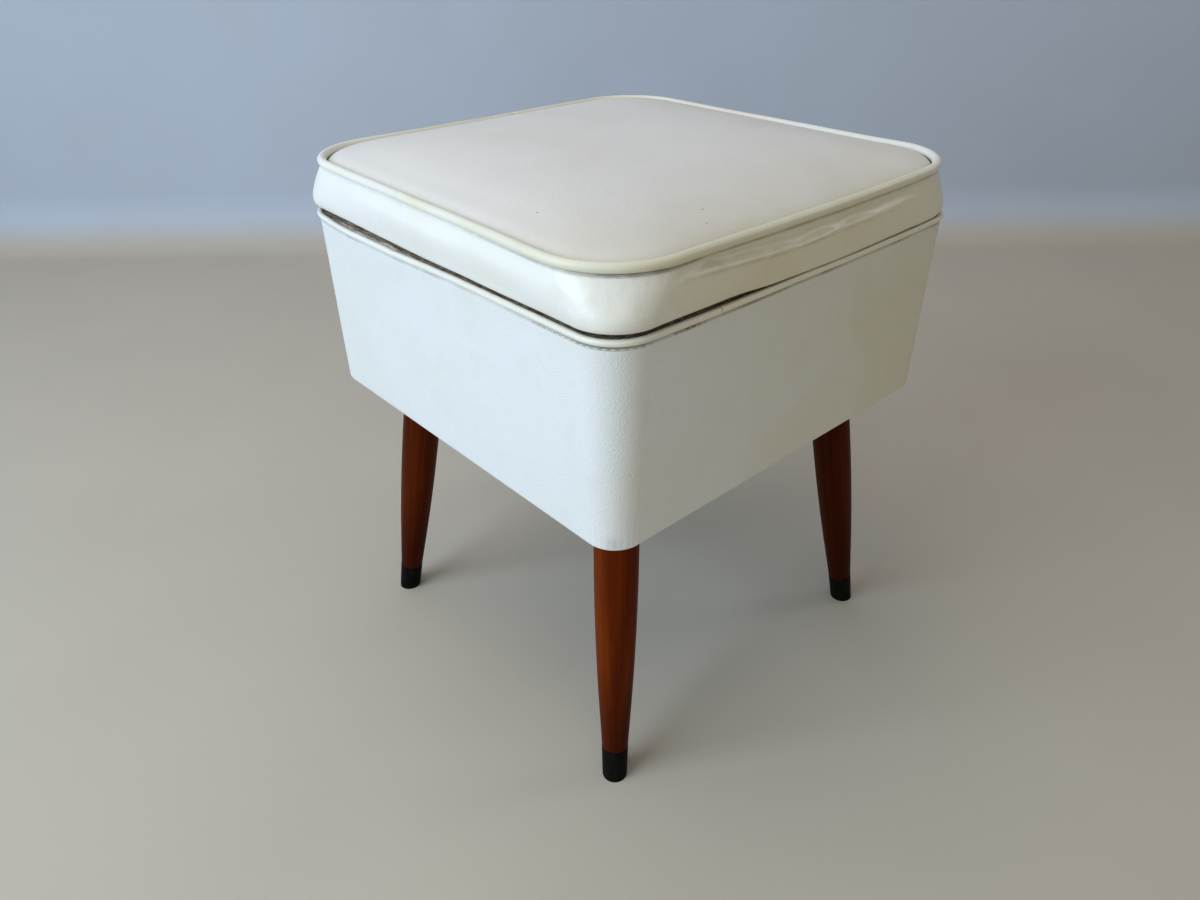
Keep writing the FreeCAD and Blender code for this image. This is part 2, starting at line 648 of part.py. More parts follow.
# Hinges: each leaf is drawn with its origin on the hinge axis.
def make_leaf(label, on_lid):
    body = new_body(f"{label}_blank")
    half = "(dims.hinge_length / 2)"
    middle = "(dims.middle_knuckle / 2)"
    clear = "(dims.knuckle_gap / 2)"
    near = "-(dims.knuckle_diameter / 2 + dims.leaf_relief)"
    far = "-dims.hinge_leaf_width"
    if on_lid:
        inner = f"({middle} - {clear})"
        comb = [(f"-{half}", far), (half, far), (half, near), (inner, near), (inner, "0"),
                (f"-{inner}", "0"), (f"-{inner}", near), (f"-{half}", near)]
        knuckles = [("middle", f"-{inner}", f"2 * {inner}")]
        plate_bottom = "dims.hinge_rise - dims.leaf_thick"
        bore = "dims.pin_diameter / 2 + dims.pin_running_gap"
    else:
        inner = f"({middle} + {clear})"
        comb = [(f"-{half}", far), (half, far), (half, "0"), (inner, "0"), (inner, near),
                (f"-{inner}", near), (f"-{inner}", "0"), (f"-{half}", "0")]
        knuckles = [("left", f"-{half}", f"{half} - {inner}"), ("right", inner, f"{half} - {inner}")]
        plate_bottom = "-dims.hinge_rise"
        bore = "dims.pin_diameter / 2 + dims.pin_fixed_gap"
    pad(body, outline(body, "plate", "XY_Plane", comb, lift=plate_bottom), "dims.leaf_thick")
    for name, start, length in knuckles:
        ring = circle_sketch(body, f"knuckle_{name}", "YZ_Plane", "dims.knuckle_diameter / 2",
                             "0", "0", start)
        pad(body, ring, length)
    hole = circle_sketch(body, "bore", "YZ_Plane", bore, "0", "0")
    pocket(body, hole, "2 * dims.hinge_length", both_ways=True)
    return body


def place_at_hinge(item, sign):
    place(item, f"{sign} * {hinge_half_spacing}", hinge_axis_y, hinge_axis_z)


def make_hinge_pins():
    pins = []
    for sign in (-1, 1):
        middle = sign * value(hinge_half_spacing)
        start = vector(middle - value("dims.hinge_length") / 2, value(hinge_axis_y), value(hinge_axis_z))
        pins.append(Part.makeCylinder(value("dims.pin_diameter") / 2, value("dims.hinge_length"), start,
                                      vector(1, 0, 0)))
    return fixed_shape("hinge_pins", Part.makeCompound(pins))


def hinge_screw_spots(on_lid):
    offset = "dims.hinge_rise - dims.leaf_thick"
    level = value(f"{hinge_axis_z} + {offset}") if on_lid else value(f"{hinge_axis_z} - ({offset})")
    leaf_middle = "(dims.knuckle_diameter / 2 + dims.leaf_relief + dims.hinge_leaf_width) / 2"
    depth = value(f"{hinge_axis_y} - {leaf_middle}")
    apart = value("dims.hinge_length / 2 - dims.hinge_screw_end")
    spots = []
    for sign in (-1, 1):
        middle = sign * value(hinge_half_spacing)
        spots += [vector(middle - apart, depth, level), vector(middle + apart, depth, level)]
    return spots


# Lid: board, band, welt, pad, top panel, lining.
def band_sections():
    # Level, half width and corner of the band's outside, hem first; it swells out and draws in to the welt.
    low_part = f"({lid_board_top} - {hem_bottom})"
    high_part = f"({band_top} - {lid_board_top})"
    corner_rise = "(dims.lid_welt_corner - dims.hem_corner)"
    return [
        (hem_bottom, hem_half, "dims.hem_corner"),
        (f"({hem_bottom} + 0.35 * {low_part})", f"({hem_half} + 0.6 * dims.lid_bulge)",
         f"(dims.hem_corner + 0.1 * {corner_rise})"),
        (lid_board_top, f"({hem_half} + 0.95 * dims.lid_bulge)", f"(dims.hem_corner + 0.3 * {corner_rise})"),
        (f"({lid_board_top} + 0.25 * {high_part})", f"({hem_half} + dims.lid_bulge)",
         f"(dims.hem_corner + 0.5 * {corner_rise})"),
        (f"({lid_board_top} + 0.7 * {high_part})",
         f"(0.6 * ({hem_half} + dims.lid_bulge) + 0.4 * {lid_welt_half})",
         f"(dims.hem_corner + 0.8 * {corner_rise})"),
        (band_top, lid_welt_half, "dims.lid_welt_corner"),
    ]


def side_loft(body, kind, sections, skin):
    sketches = []
    for number, (level, half, corner) in enumerate(sections):
        sketches.append(rounded_square(body, f"{kind}_{number}", f"{half} - {skin}",
                                       f"{corner} - {skin}", level))
    return loft(body, kind, sketches)


def make_lid_band(screw_holes):
    body = new_body("lid_band_sleeve")
    sections = band_sections()
    side_loft(body, "AdditiveLoft", sections, "0")
    inside = [(lid_board_bottom, sections[0][1], sections[0][2])] + sections[1:]
    side_loft(body, "SubtractiveLoft", inside, "dims.vinyl")
    opening = rounded_square(body, "opening", lid_inner_half, lid_inner_corner, hem_bottom)
    pocket(body, opening, "2 * dims.vinyl", reverse=True)
    return drilled(body, "lid_band", [screw_holes])


crown_steps = [1, 0.97, 0.93, 0.87, 0.79, 0.68, 0.54, 0.38, 0.2]
crown_fullness = 7
crown_dome = 0.15
top_half = f"({lid_welt_half} - dims.lid_cord / 2 - dims.fit_gap)"
top_corner = "(dims.lid_welt_corner - dims.lid_cord / 2 - dims.fit_gap)"


def crown_loft(body, kind, skin, sink):
    # Sections shrink towards the middle while their level rises, steeply at the edge, then as a flat dome.
    sketches = []
    for number, step in enumerate(crown_steps):
        rise = 1 - (1 - crown_dome) * step ** crown_fullness - crown_dome * step ** 2
        sketches.append(rounded_square(
            body, f"crown_{kind}_{number}", f"{step} * ({top_half} - {skin})",
            f"{step} * ({top_corner} - {skin})", f"{welt_level} - {sink} + {rise} * dims.crown"))
    return loft(body, kind, sketches, ruled=False)


def make_lid_pad():
    body = new_body("lid_pad")
    skin = f"({cover_skin} + dims.fit_gap)"
    sections = band_sections()[2:]
    level, half, corner = sections[0]
    sections[0] = (f"({level} + dims.fit_gap)", half, corner)
    side_loft(body, "AdditiveLoft", sections, skin)
    crown_base = rounded_square(body, "neck", f"{top_half} - {skin}", f"{top_corner} - {skin}", band_top)
    pad(body, crown_base, f"{welt_level} - {skin} - {band_top}")
    crown_loft(body, "AdditiveLoft", skin, skin)
    return body


def make_lid_top():
    body = new_body("lid_top")
    skin = "dims.vinyl"
    edge = rounded_square(body, "edge", top_half, top_corner, band_top)
    pad(body, edge, f"{welt_level} - {band_top}")
    crown_loft(body, "AdditiveLoft", "0", "0")
    hollow = rounded_square(body, "hollow", f"{top_half} - {skin}", f"{top_corner} - {skin}", band_top)
    pocket(body, hollow, f"{welt_level} - {skin} - {band_top}", reverse=True)
    crown_loft(body, "SubtractiveLoft", skin, skin)
    return body


def make_lid_welt():
    body = new_body("lid_welt")
    welt_ring(body, "cord", lid_welt_half, "dims.lid_welt_corner", welt_level, "dims.lid_cord / 2")
    return body


def make_lid_boards(screw_holes):
    board = make_sheet("lid_board_sheet", f"{hem_half} - dims.lid_board_inset",
                       "dims.hem_corner - dims.lid_board_inset", lid_board_bottom, "dims.lid_board")
    lining_half = f"({lid_inner_half} - dims.fit_gap)"
    lining_bottom = f"({lid_board_bottom} - dims.lid_lining)"
    lining = make_sheet("lid_lining", lining_half, lid_inner_corner, lining_bottom, "dims.lid_lining")
    return [drilled(board, "lid_board", [screw_holes]), lining]


# Tray and its runners.
def make_tray():
    side = "dims.tray_side"
    inner_x = f"({tray_half} - {side})"
    inner_front = f"({tray_front_y} + {side})"
    inner_back = f"({tray_back_y} - {side})"
    floor_level = f"({tray_bottom} + dims.tray_floor)"
    low = f"-{tray_half}"
    items = [
        bar("tray_front", low, tray_half, tray_front_y, inner_front, tray_bottom, tray_top),
        bar("tray_back", low, tray_half, inner_back, tray_back_y, tray_bottom, tray_top),
        bar("tray_left", low, f"-{inner_x}", inner_front, inner_back, tray_bottom, tray_top),
        bar("tray_right", inner_x, tray_half, inner_front, inner_back, tray_bottom, tray_top),
        bar("tray_floor", f"-{inner_x}", inner_x, inner_front, inner_back, tray_bottom, floor_level),
    ]
    for name, sign in (("left", "-1"), ("right", "1")):
        middle = f"({sign} * dims.tray_divider_spread / 2)"
        near = f"({middle} - dims.tray_divider / 2)"
        far = f"({middle} + dims.tray_divider / 2)"
        items.append(bar(f"tray_divider_{name}", near, far, inner_front, inner_back, floor_level, tray_top))
    middle_y = f"(({tray_front_y} + {tray_back_y}) / 2)"
    spots = []
    for across in ("-0.5", "0.5"):
        for deep in ("-1", "0", "1"):
            spots.append((f"{across} * dims.peg_spacing_across",
                          f"{middle_y} + {deep} * dims.peg_spacing_deep"))
    items.append(post_group("spool_pegs", spots, "dims.peg_diameter / 2", floor_level, "dims.peg_height"))
    return items


def make_runners():
    half_length = f"({cleat_inner} - dims.runner_end_gap)"
    left = bar("tray_runner_left", f"-{runner_outer}", f"-{runner_inner}", f"-{half_length}", half_length,
               runner_bottom, runner_top)
    right = bar("tray_runner_right", runner_inner, runner_outer, f"-{half_length}", half_length,
                runner_bottom, runner_top)
    return [left, right]


# Assembly.
plate_screws, plate_screw_holes = screws_and_holes(
    "leg_plate_screws", "plate_screw", plate_screw_length, leg_plate_screw_spots(), points_up=True)
body_screws, body_screw_holes = screws_and_holes(
    "hinge_screws_body", "hinge_screw", hinge_screw_length, hinge_screw_spots(on_lid=False), points_up=False)
lid_screws, lid_screw_holes = screws_and_holes(
    "hinge_screws_lid", "hinge_screw", hinge_screw_length, hinge_screw_spots(on_lid=True), points_up=True)

finished = [plate_screws, body_screws, lid_screws, make_leg_bolts(), make_hinge_pins()]
finished.append(make_body_cover())
finished.append(make_wall_ring("body_shell", "(dims.underside + dims.vinyl + dims.fit_gap)", rim_top,
                               cover_skin, "dims.wall"))
finished.append(make_wall_ring("wall_lining", f"({floor_top} + dims.fit_gap)",
                               f"({cleat_bottom} - dims.fit_gap)", wall_skin, "dims.lining"))
finished += make_box_boards(plate_screw_holes, make_bolt_pockets())
finished.append(drilled(make_rim_welt(), "rim_welt", [body_screw_holes]))
finished.append(drilled(make_tack_strip(), "rim_tack_strip", [body_screw_holes]))
finished += make_cleats(body_screw_holes)
finished.append(make_buffers())

for corner_name, side_x, side_y, turn in corners:
    leg = make_leg(f"leg_{corner_name}")
    tip = make_tip(f"tip_{corner_name}")
    plate_blank = make_leg_plate(f"leg_plate_{corner_name}")
    for item in (leg, tip, plate_blank):
        place_at_corner(item, side_x, side_y, turn)
    finished += [leg, tip, drilled(plate_blank, f"leg_plate_{corner_name}", [plate_screw_holes])]

for side_name, sign in (("left", -1), ("right", 1)):
    for owner, holes in (("body", body_screw_holes), ("lid", lid_screw_holes)):
        leaf_label = f"hinge_leaf_{owner}_{side_name}"
        leaf = make_leaf(leaf_label, owner == "lid")
        place_at_hinge(leaf, sign)
        finished.append(drilled(leaf, leaf_label, [holes]))

finished += make_lid_boards(lid_screw_holes)
finished += [make_lid_band(lid_screw_holes), make_lid_welt(), make_lid_pad(), make_lid_top()]
finished += make_tray()
finished += make_runners()
doc.recompute()

# Check and write.
os.makedirs("parts", exist_ok=True)
faults = []
for item in doc.Objects:
    if "Invalid" in item.State or "Error" in item.State:
        faults.append(f"{item.Label} is {item.State}")
for item in finished:
    shape = item.Shape
    if shape.isNull() or not shape.isValid() or not shape.Solids:
        faults.append(f"{item.Label} has no sound solid")
if faults:
    raise RuntimeError("; ".join(faults))
for item in finished:
    item.Shape.exportStep(f"parts/{item.Label}.step")
print(f"{len(finished)} parts written")
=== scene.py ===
import math

import bpy
import numpy as np
from mathutils import Matrix, Vector


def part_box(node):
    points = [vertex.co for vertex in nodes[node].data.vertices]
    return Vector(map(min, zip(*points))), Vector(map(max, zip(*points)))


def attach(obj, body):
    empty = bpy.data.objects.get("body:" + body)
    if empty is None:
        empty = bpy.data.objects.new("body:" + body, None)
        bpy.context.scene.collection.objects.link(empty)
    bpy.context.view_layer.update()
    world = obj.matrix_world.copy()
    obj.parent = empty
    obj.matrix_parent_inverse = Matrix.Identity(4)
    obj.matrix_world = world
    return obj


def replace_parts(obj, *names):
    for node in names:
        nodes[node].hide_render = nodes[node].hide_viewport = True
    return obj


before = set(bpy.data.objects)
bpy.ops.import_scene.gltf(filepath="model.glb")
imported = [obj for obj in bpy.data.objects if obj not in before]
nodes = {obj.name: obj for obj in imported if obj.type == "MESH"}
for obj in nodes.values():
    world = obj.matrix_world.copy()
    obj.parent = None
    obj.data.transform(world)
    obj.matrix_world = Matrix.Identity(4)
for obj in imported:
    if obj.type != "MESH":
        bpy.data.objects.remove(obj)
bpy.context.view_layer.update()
mm = 0.001


# shader helpers

def feed(tree, node, inputs):
    for name, value in inputs.items():
        if isinstance(value, bpy.types.NodeSocket):
            tree.links.new(value, node.inputs[name])
        else:
            node.inputs[name].default_value = value
    return node


def put(tree, kind, inputs, **options):
    node = tree.nodes.new("ShaderNode" + kind)
    for name, value in options.items():
        setattr(node, name, value)
    return feed(tree, node, inputs)


def calc(tree, operation, first, second=0.0):
    return put(tree, "Math", {0: first, 1: second}, operation=operation).outputs[0]


def times(tree, first, second):
    return calc(tree, "MULTIPLY", first, second)


def ramp(tree, value, low, high, toLow=0.0, toHigh=1.0):
    ends = {"Value": value, "From Min": low, "From Max": high, "To Min": toLow, "To Max": toHigh}
    return put(tree, "MapRange", ends, interpolation_type="SMOOTHSTEP").outputs["Result"]


def tint(tree, factor, first, second):
    return put(tree, "Mix", {0: factor, 6: first, 7: second}, data_type="RGBA").outputs[2]


def noise(tree, where, scale, detail=2.0, distortion=0.0):
    inputs = {"Vector": where, "Scale": scale, "Detail": detail, "Distortion": distortion}
    return put(tree, "TexNoise", inputs).outputs["Fac"]


def stretched(tree, where, scale, turn=(0, 0, 0)):
    return put(tree, "Mapping", {"Vector": where, "Scale": scale, "Rotation": turn}).outputs[0]


def newGroup(name, inputs, outputs):
    tree = bpy.data.node_groups.new(name, "ShaderNodeTree")
    for label, kind in inputs:
        tree.interface.new_socket(name=label, in_out="INPUT", socket_type="NodeSocket" + kind)
    for label in outputs:
        tree.interface.new_socket(name=label, in_out="OUTPUT", socket_type="NodeSocketFloat")
    return tree, tree.nodes.new("NodeGroupInput").outputs, tree.nodes.new("NodeGroupOutput").inputs


def useGroup(tree, group, inputs):
    return put(tree, "Group", inputs, node_tree=group).outputs


def newMaterial(name, fixed):
    material = bpy.data.materials.new(name)
    material.use_nodes = True
    tree = material.node_tree
    shader = tree.nodes["Principled BSDF"]
    feed(tree, shader, fixed)
    where = put(tree, "TexCoord", {}).outputs["Object"]
    return material, tree, shader.inputs, where


def connect(tree, sockets, colour, gloss, height, strength, depth):  # the links that every finish has
    bump = put(tree, "Bump", {"Height": height, "Strength": strength, "Distance": depth})
    for source, label in ((colour, "Base Color"), (gloss, "Roughness"), (bump.outputs[0], "Normal")):
        tree.links.new(source, sockets[label])


# shared effects, each built once

def makeVinylSkin():  # pebbles from cells with soft walls, broad mottling, smudges and a few specks
    tree, given, result = newGroup("vinylSkin", [("Vector", "Vector"), ("Pebbles", "Float")],
                                   ["Height", "Mottle", "Smudge", "Speck"])
    where, pebbles = given["Vector"], given["Pebbles"]
    cells = put(tree, "TexVoronoi", {"Vector": where, "Scale": pebbles, "Smoothness": 0.6},
                feature="SMOOTH_F1").outputs["Distance"]
    fine = noise(tree, where, times(tree, pebbles, 2.6), 3)
    height = calc(tree, "ADD", times(tree, cells, -0.8), times(tree, fine, 0.5))
    tree.links.new(height, result["Height"])
    tree.links.new(noise(tree, where, 11, 4, 0.4), result["Mottle"])
    tree.links.new(ramp(tree, noise(tree, where, 34, 5, 0.8), 0.58, 0.74), result["Smudge"])
    dots = put(tree, "TexVoronoi", {"Vector": where, "Scale": 26.0}, feature="F1")
    near = ramp(tree, dots.outputs["Distance"], 0.035, 0.02)
    chosen = ramp(tree, put(tree, "SeparateColor", {0: dots.outputs["Color"]}).outputs[0], 0.9, 0.91)
    tree.links.new(times(tree, near, chosen), result["Speck"])
    return tree


def makeWoodFigure():  # streaks drawn out along Z, wandering rings and short dark pores
    tree, given, result = newGroup("woodFigure", [("Vector", "Vector"), ("Scale", "Float")],
                                   ["Tone", "Pores", "Fibres"])
    where, scale = given["Vector"], given["Scale"]
    broad = noise(tree, stretched(tree, where, (1, 1, 0.07)), scale, 4, 0.7)
    rings = put(tree, "TexWave", {"Vector": stretched(tree, where, (1, 1, 0.05)), "Scale": scale,
                                  "Distortion": 5.0, "Detail": 2.0, "Detail Scale": 0.8},
                wave_type="RINGS", rings_direction="Z").outputs["Fac"]
    fibres = noise(tree, stretched(tree, where, (1, 1, 0.025)), times(tree, scale, 9.0), 3)
    pores = noise(tree, stretched(tree, where, (1, 1, 0.04)), times(tree, scale, 15.0), 2)
    tone = calc(tree, "ADD", times(tree, broad, 0.72), times(tree, rings, 0.09))
    tone = calc(tree, "ADD", tone, times(tree, fibres, 0.3))
    tree.links.new(tone, result["Tone"])
    tree.links.new(ramp(tree, pores, 0.6, 0.72), result["Pores"])
    tree.links.new(fibres, result["Fibres"])
    return tree


def makePlainWeave():  # threads: the higher of waves along X and Y, times a wave along Z
    tree, given, result = newGroup("plainWeave", [("Vector", "Vector"), ("Threads", "Float")],
                                   ["Height", "Slub"])
    where, threads = given["Vector"], given["Threads"]
    thread = {"Vector": where, "Scale": threads, "Distortion": 0.6, "Detail": 1.0, "Detail Scale": 0.3}
    x, y, z = (put(tree, "TexWave", thread, bands_direction=way).outputs["Fac"] for way in "XYZ")
    tree.links.new(times(tree, calc(tree, "MAXIMUM", x, y), z), result["Height"])
    tree.links.new(noise(tree, stretched(tree, where, (0.15, 1, 1)), times(tree, threads, 0.7), 2),
                   result["Slub"])
    return tree


def makeHandled():  # dull patches and fine scratches for metal, plastic and rubber
    tree, given, result = newGroup("handled", [("Vector", "Vector"), ("Size", "Float")], ["Patch", "Scratch"])
    where, size = given["Vector"], given["Size"]
    tree.links.new(noise(tree, where, size, 4, 0.5), result["Patch"])
    lines = noise(tree, stretched(tree, where, (1, 0.06, 0.35), (0.4, 0.7, 0.3)),
                  times(tree, size, 16.0), 2)
    tree.links.new(ramp(tree, lines, 0.62, 0.7), result["Scratch"])
    return tree


vinylSkin = makeVinylSkin()
woodFigure = makeWoodFigure()
plainWeave = makePlainWeave()
handled = makeHandled()
print("node groups built")


# finishes

crinkleDepth, pebbleDepth = 1.5 * mm, 0.4 * mm
spotEdge, spotHeart = 0.9 * mm, 0.5 * mm


def makeVinyl(name, look):  # aged, yellowed, soiled and given painted shade by masks; pebbles and crinkles are its bump
    material, tree, sockets, where = newMaterial(name, {"Specular IOR Level": look["specular"]})
    skin = useGroup(tree, vinylSkin, {"Vector": where, "Pebbles": look["pebbles"]})
    shadeAndGrime, crinkle, yellow = (put(tree, "Attribute", {}, attribute_name=label).outputs["Fac"]
                              for label in ("shadeAndGrime", "crinkle", "yellow"))
    uneven = ramp(tree, skin["Mottle"], 0.3, 0.65, 0.7, 1.0)
    patchy = ramp(tree, noise(tree, where, 75, 4, 0.6), 0.3, 0.62, 0.6, 1.0)
    age = ramp(tree, skin["Mottle"], look["ageFrom"], look["ageTo"])
    colour = tint(tree, age, look["colour"], look["aged"])
    colour = tint(tree, times(tree, yellow, uneven), colour, look["yellowed"])
    # the attribute mask read here carries painted shade as well as soiling: dark lines under the welts and in
    # the cushion's seam crease, mixed towards the dark colour
    for mask, amount in ((skin["Smudge"], look["smudge"]), (shadeAndGrime, patchy), (skin["Speck"], look["speck"])):
        colour = tint(tree, times(tree, mask, amount), colour, look["dirtAndShade"])
    for spot in look.get("spots", []):
        apart = put(tree, "VectorMath", {0: stretched(tree, where, (1, 1, 0)), 1: spot}, operation="DISTANCE")
        near = ramp(tree, apart.outputs["Value"], spotEdge, spotHeart, 0.0, 0.75)
        colour = tint(tree, near, colour, look["dirtAndShade"])
    gloss = ramp(tree, noise(tree, where, 40, 3), 0.3, 0.7, *look["rough"])
    dents = times(tree, noise(tree, where, 80, 2.5, 0.25), crinkle)
    folds = times(tree, dents, crinkleDepth)
    grain = times(tree, skin["Height"], pebbleDepth * look["grain"])
    connect(tree, sockets, colour, gloss, calc(tree, "ADD", folds, grain), 1.0, 1.0)
    return material


def makeWood(name, look, turn=(0, 0, 0)):  # dark to light by the figure, pores on top, and painted shade darkening it near the floor
    material, tree, sockets, where = newMaterial(name, {"Coat Weight": look["coat"], "Coat Roughness": 0.25,
                                                        "Specular IOR Level": look["specular"]})
    turned = stretched(tree, where, (1, 1, 1), turn)
    figure = useGroup(tree, woodFigure, {"Vector": turned, "Scale": look["scale"]})
    colour = tint(tree, ramp(tree, figure["Tone"], 0.34, 0.78), look["dark"], look["light"])
    colour = tint(tree, times(tree, figure["Pores"], look["pores"]), colour, look["pore"])
    # painted shade: the wood is mixed towards the pore colour near the floor
    if "footShade" in look:
        level = put(tree, "SeparateXYZ", {0: where}).outputs[2]
        colour = tint(tree, ramp(tree, level, *look["footLevels"], look["footShade"], 0.0), colour, look["pore"])
    gloss = ramp(tree, figure["Fibres"], 0.3, 0.7, *look["rough"])
    connect(tree, sockets, colour, gloss, figure["Fibres"], look["grain"], 0.25 * mm)
    return material


def makeCloth(name, look):  # slubs vary the tone, and it is darker between the threads
    material, tree, sockets, where = newMaterial(name, {"Sheen Weight": look["sheen"], "Sheen Roughness": 0.5,
                                                        "Specular IOR Level": 0.25})
    weave = useGroup(tree, plainWeave, {"Vector": where, "Threads": look["threads"]})
    colour = tint(tree, weave["Slub"], look["colour"], look["slub"])
    colour = tint(tree, ramp(tree, weave["Height"], 0.0, 0.35, 0.5, 0.0), colour, look["shade"])
    gloss = ramp(tree, weave["Slub"], 0.2, 0.8, 0.75, 0.95)
    connect(tree, sockets, colour, gloss, weave["Height"], 0.5, 0.3 * mm)
    return material


def makeHard(name, look):  # dull patches and bare scratches
    material, tree, sockets, where = newMaterial(name, {"Metallic": look["metal"],
                                                        "Specular IOR Level": look["specular"]})
    wear = useGroup(tree, handled, {"Vector": where, "Size": look["size"]})
    colour = tint(tree, ramp(tree, wear["Patch"], 0.35, 0.7), look["colour"], look["dull"])
    colour = tint(tree, times(tree, wear["Scratch"], look["scratch"]), colour, look["bare"])
    gloss = ramp(tree, wear["Patch"], 0.3, 0.7, *look["rough"])
    connect(tree, sockets, colour, gloss, wear["Patch"], look["grain"], 0.2 * mm)
    return material


def makeCard(name, look):  # pressed fibre: flecks, and streaks along the strip or along X
    material, tree, sockets, where = newMaterial(name, {"Specular IOR Level": 0.2})
    flecks = noise(tree, stretched(tree, where, look["fleck"]), 900, 3)
    if look["strip"]:
        x, y, z = put(tree, "SeparateXYZ", {0: where}).outputs
        across = calc(tree, "MAXIMUM", calc(tree, "ABSOLUTE", x), calc(tree, "ABSOLUTE", y))
        along = times(tree, calc(tree, "ADD", x, y), 0.04)
        deep = times(tree, z, 0.5)
        lined = put(tree, "CombineXYZ", {0: across, 1: along, 2: deep}).outputs[0]
    else:
        lined = stretched(tree, where, (0.05, 1, 1))
    streaks = noise(tree, lined, look["streak"], 3)
    colour = tint(tree, ramp(tree, flecks, 0.35, 0.7), look["colour"], look["light"])
    colour = tint(tree, ramp(tree, streaks, 0.46, 0.58, 0.0, look["streaked"]), colour, look["dark"])
    connect(tree, sockets, colour, ramp(tree, flecks, 0.3, 0.7, 0.75, 0.95), flecks, 0.5, 0.25 * mm)
    return material


vinylLooks = {
    "coverVinyl": {"colour": (0.77, 0.785, 0.81, 1), "aged": (0.755, 0.765, 0.75, 1),
                   "yellowed": (0.69, 0.655, 0.50, 1), "dirtAndShade": (0.20, 0.175, 0.13, 1), "ageFrom": 0.35,
                   "ageTo": 0.75, "smudge": 0.035, "speck": 0.4, "pebbles": 820.0, "grain": 0.55,
                   "rough": (0.46, 0.56), "specular": 0.42},
    "bandVinyl": {"colour": (0.85, 0.84, 0.83, 1), "aged": (0.82, 0.80, 0.75, 1),
                  "yellowed": (0.74, 0.69, 0.53, 1), "dirtAndShade": (0.12, 0.10, 0.06, 1), "ageFrom": 0.4,
                  "ageTo": 0.75, "smudge": 0.04, "speck": 0.3, "pebbles": 760.0, "grain": 0.15,
                  "rough": (0.29, 0.40), "specular": 0.5},
    "topVinyl": {"colour": (0.81, 0.78, 0.76, 1), "aged": (0.785, 0.74, 0.70, 1),
                 "yellowed": (0.68, 0.63, 0.53, 1), "dirtAndShade": (0.24, 0.20, 0.16, 1), "ageFrom": 0.4,
                 "ageTo": 0.8, "smudge": 0.035, "speck": 0.8, "pebbles": 1050.0, "grain": 0.3,
                 "rough": (0.42, 0.52), "specular": 0.4,
                 "spots": [(0.0796, -0.1473, 0), (0.143, -0.072, 0), (0.1566, -0.083, 0)]},
    "weltVinyl": {"colour": (0.82, 0.82, 0.79, 1), "aged": (0.80, 0.77, 0.65, 1),
                  "yellowed": (0.73, 0.69, 0.53, 1), "dirtAndShade": (0.30, 0.25, 0.15, 1), "ageFrom": 0.42,
                  "ageTo": 0.66, "smudge": 0.1, "speck": 0.3, "pebbles": 800.0, "grain": 0.12,
                  "rough": (0.32, 0.45), "specular": 0.5},
    "rimVinyl": {"colour": (0.81, 0.82, 0.80, 1), "aged": (0.80, 0.78, 0.70, 1),
                 "yellowed": (0.80, 0.75, 0.59, 1), "dirtAndShade": (0.13, 0.095, 0.055, 1), "ageFrom": 0.38,
                 "ageTo": 0.7, "smudge": 0.06, "speck": 0.3, "pebbles": 800.0, "grain": 0.1,
                 "rough": (0.29, 0.4), "specular": 0.5},
}
vinyls = {name: makeVinyl(name, look) for name, look in vinylLooks.items()}

# the last two entries darken the wood near the floor: painted shade
legLook = {"dark": (0.082, 0.0098, 0.0005, 1), "light": (0.168, 0.0275, 0.0013, 1),
           "pore": (0.025, 0.003, 0.0005, 1), "pores": 0.3, "scale": 46.0, "coat": 0.0,
           "rough": (0.36, 0.48), "grain": 0.08, "specular": 0.04, "footShade": 0.62,
           "footLevels": (30 * mm, 135 * mm)}
pineLook = {"dark": (0.46, 0.28, 0.13, 1), "light": (0.70, 0.50, 0.28, 1), "pore": (0.33, 0.18, 0.08, 1),
            "pores": 0.35, "scale": 60.0, "coat": 0.0, "rough": (0.6, 0.75), "grain": 0.25, "specular": 0.3}
trayLook = {"dark": (0.38, 0.22, 0.10, 1), "light": (0.60, 0.41, 0.22, 1), "pore": (0.22, 0.12, 0.06, 1),
            "pores": 0.5, "scale": 55.0, "coat": 0.2, "rough": (0.38, 0.5), "grain": 0.15, "specular": 0.4}
pegLook = {"dark": (0.58, 0.40, 0.22, 1), "light": (0.74, 0.56, 0.36, 1), "pore": (0.45, 0.30, 0.16, 1),
           "pores": 0.2, "scale": 120.0, "coat": 0.1, "rough": (0.45, 0.55), "grain": 0.12, "specular": 0.4}
plyLook = {"dark": (0.42, 0.27, 0.14, 1), "light": (0.62, 0.45, 0.27, 1), "pore": (0.28, 0.17, 0.09, 1),
           "pores": 0.4, "scale": 45.0, "coat": 0.0, "rough": (0.6, 0.75), "grain": 0.2, "specular": 0.3}
alongX = (0, math.pi / 2, 0)
alongY = (math.pi / 2, 0, 0)
upright = (0, 0, 0)
woods = {name: makeWood(name, look, turn) for name, look, turn in (
    ("pineAcross", pineLook, alongX), ("pineDeep", pineLook, alongY), ("trayAcross", trayLook, alongX),
    ("trayDeep", trayLook, alongY), ("pegWood", pegLook, upright), ("plywood", plyLook, alongX))}
liningLook = {"colour": (0.66, 0.61, 0.52, 1), "slub": (0.70, 0.655, 0.565, 1),
              "shade": (0.40, 0.35, 0.28, 1), "threads": 260.0, "sheen": 0.15}
dustLook = {"colour": (0.018, 0.018, 0.019, 1), "slub": (0.035, 0.034, 0.033, 1),
            "shade": (0.006, 0.006, 0.006, 1), "threads": 330.0, "sheen": 0.1}
cloths = {"liningCloth": makeCloth("liningCloth", liningLook), "dustCloth": makeCloth("dustCloth", dustLook)}
hardCommon = {"scratch": 0.4, "metal": 0.0, "grain": 0.1, "specular": 0.4}
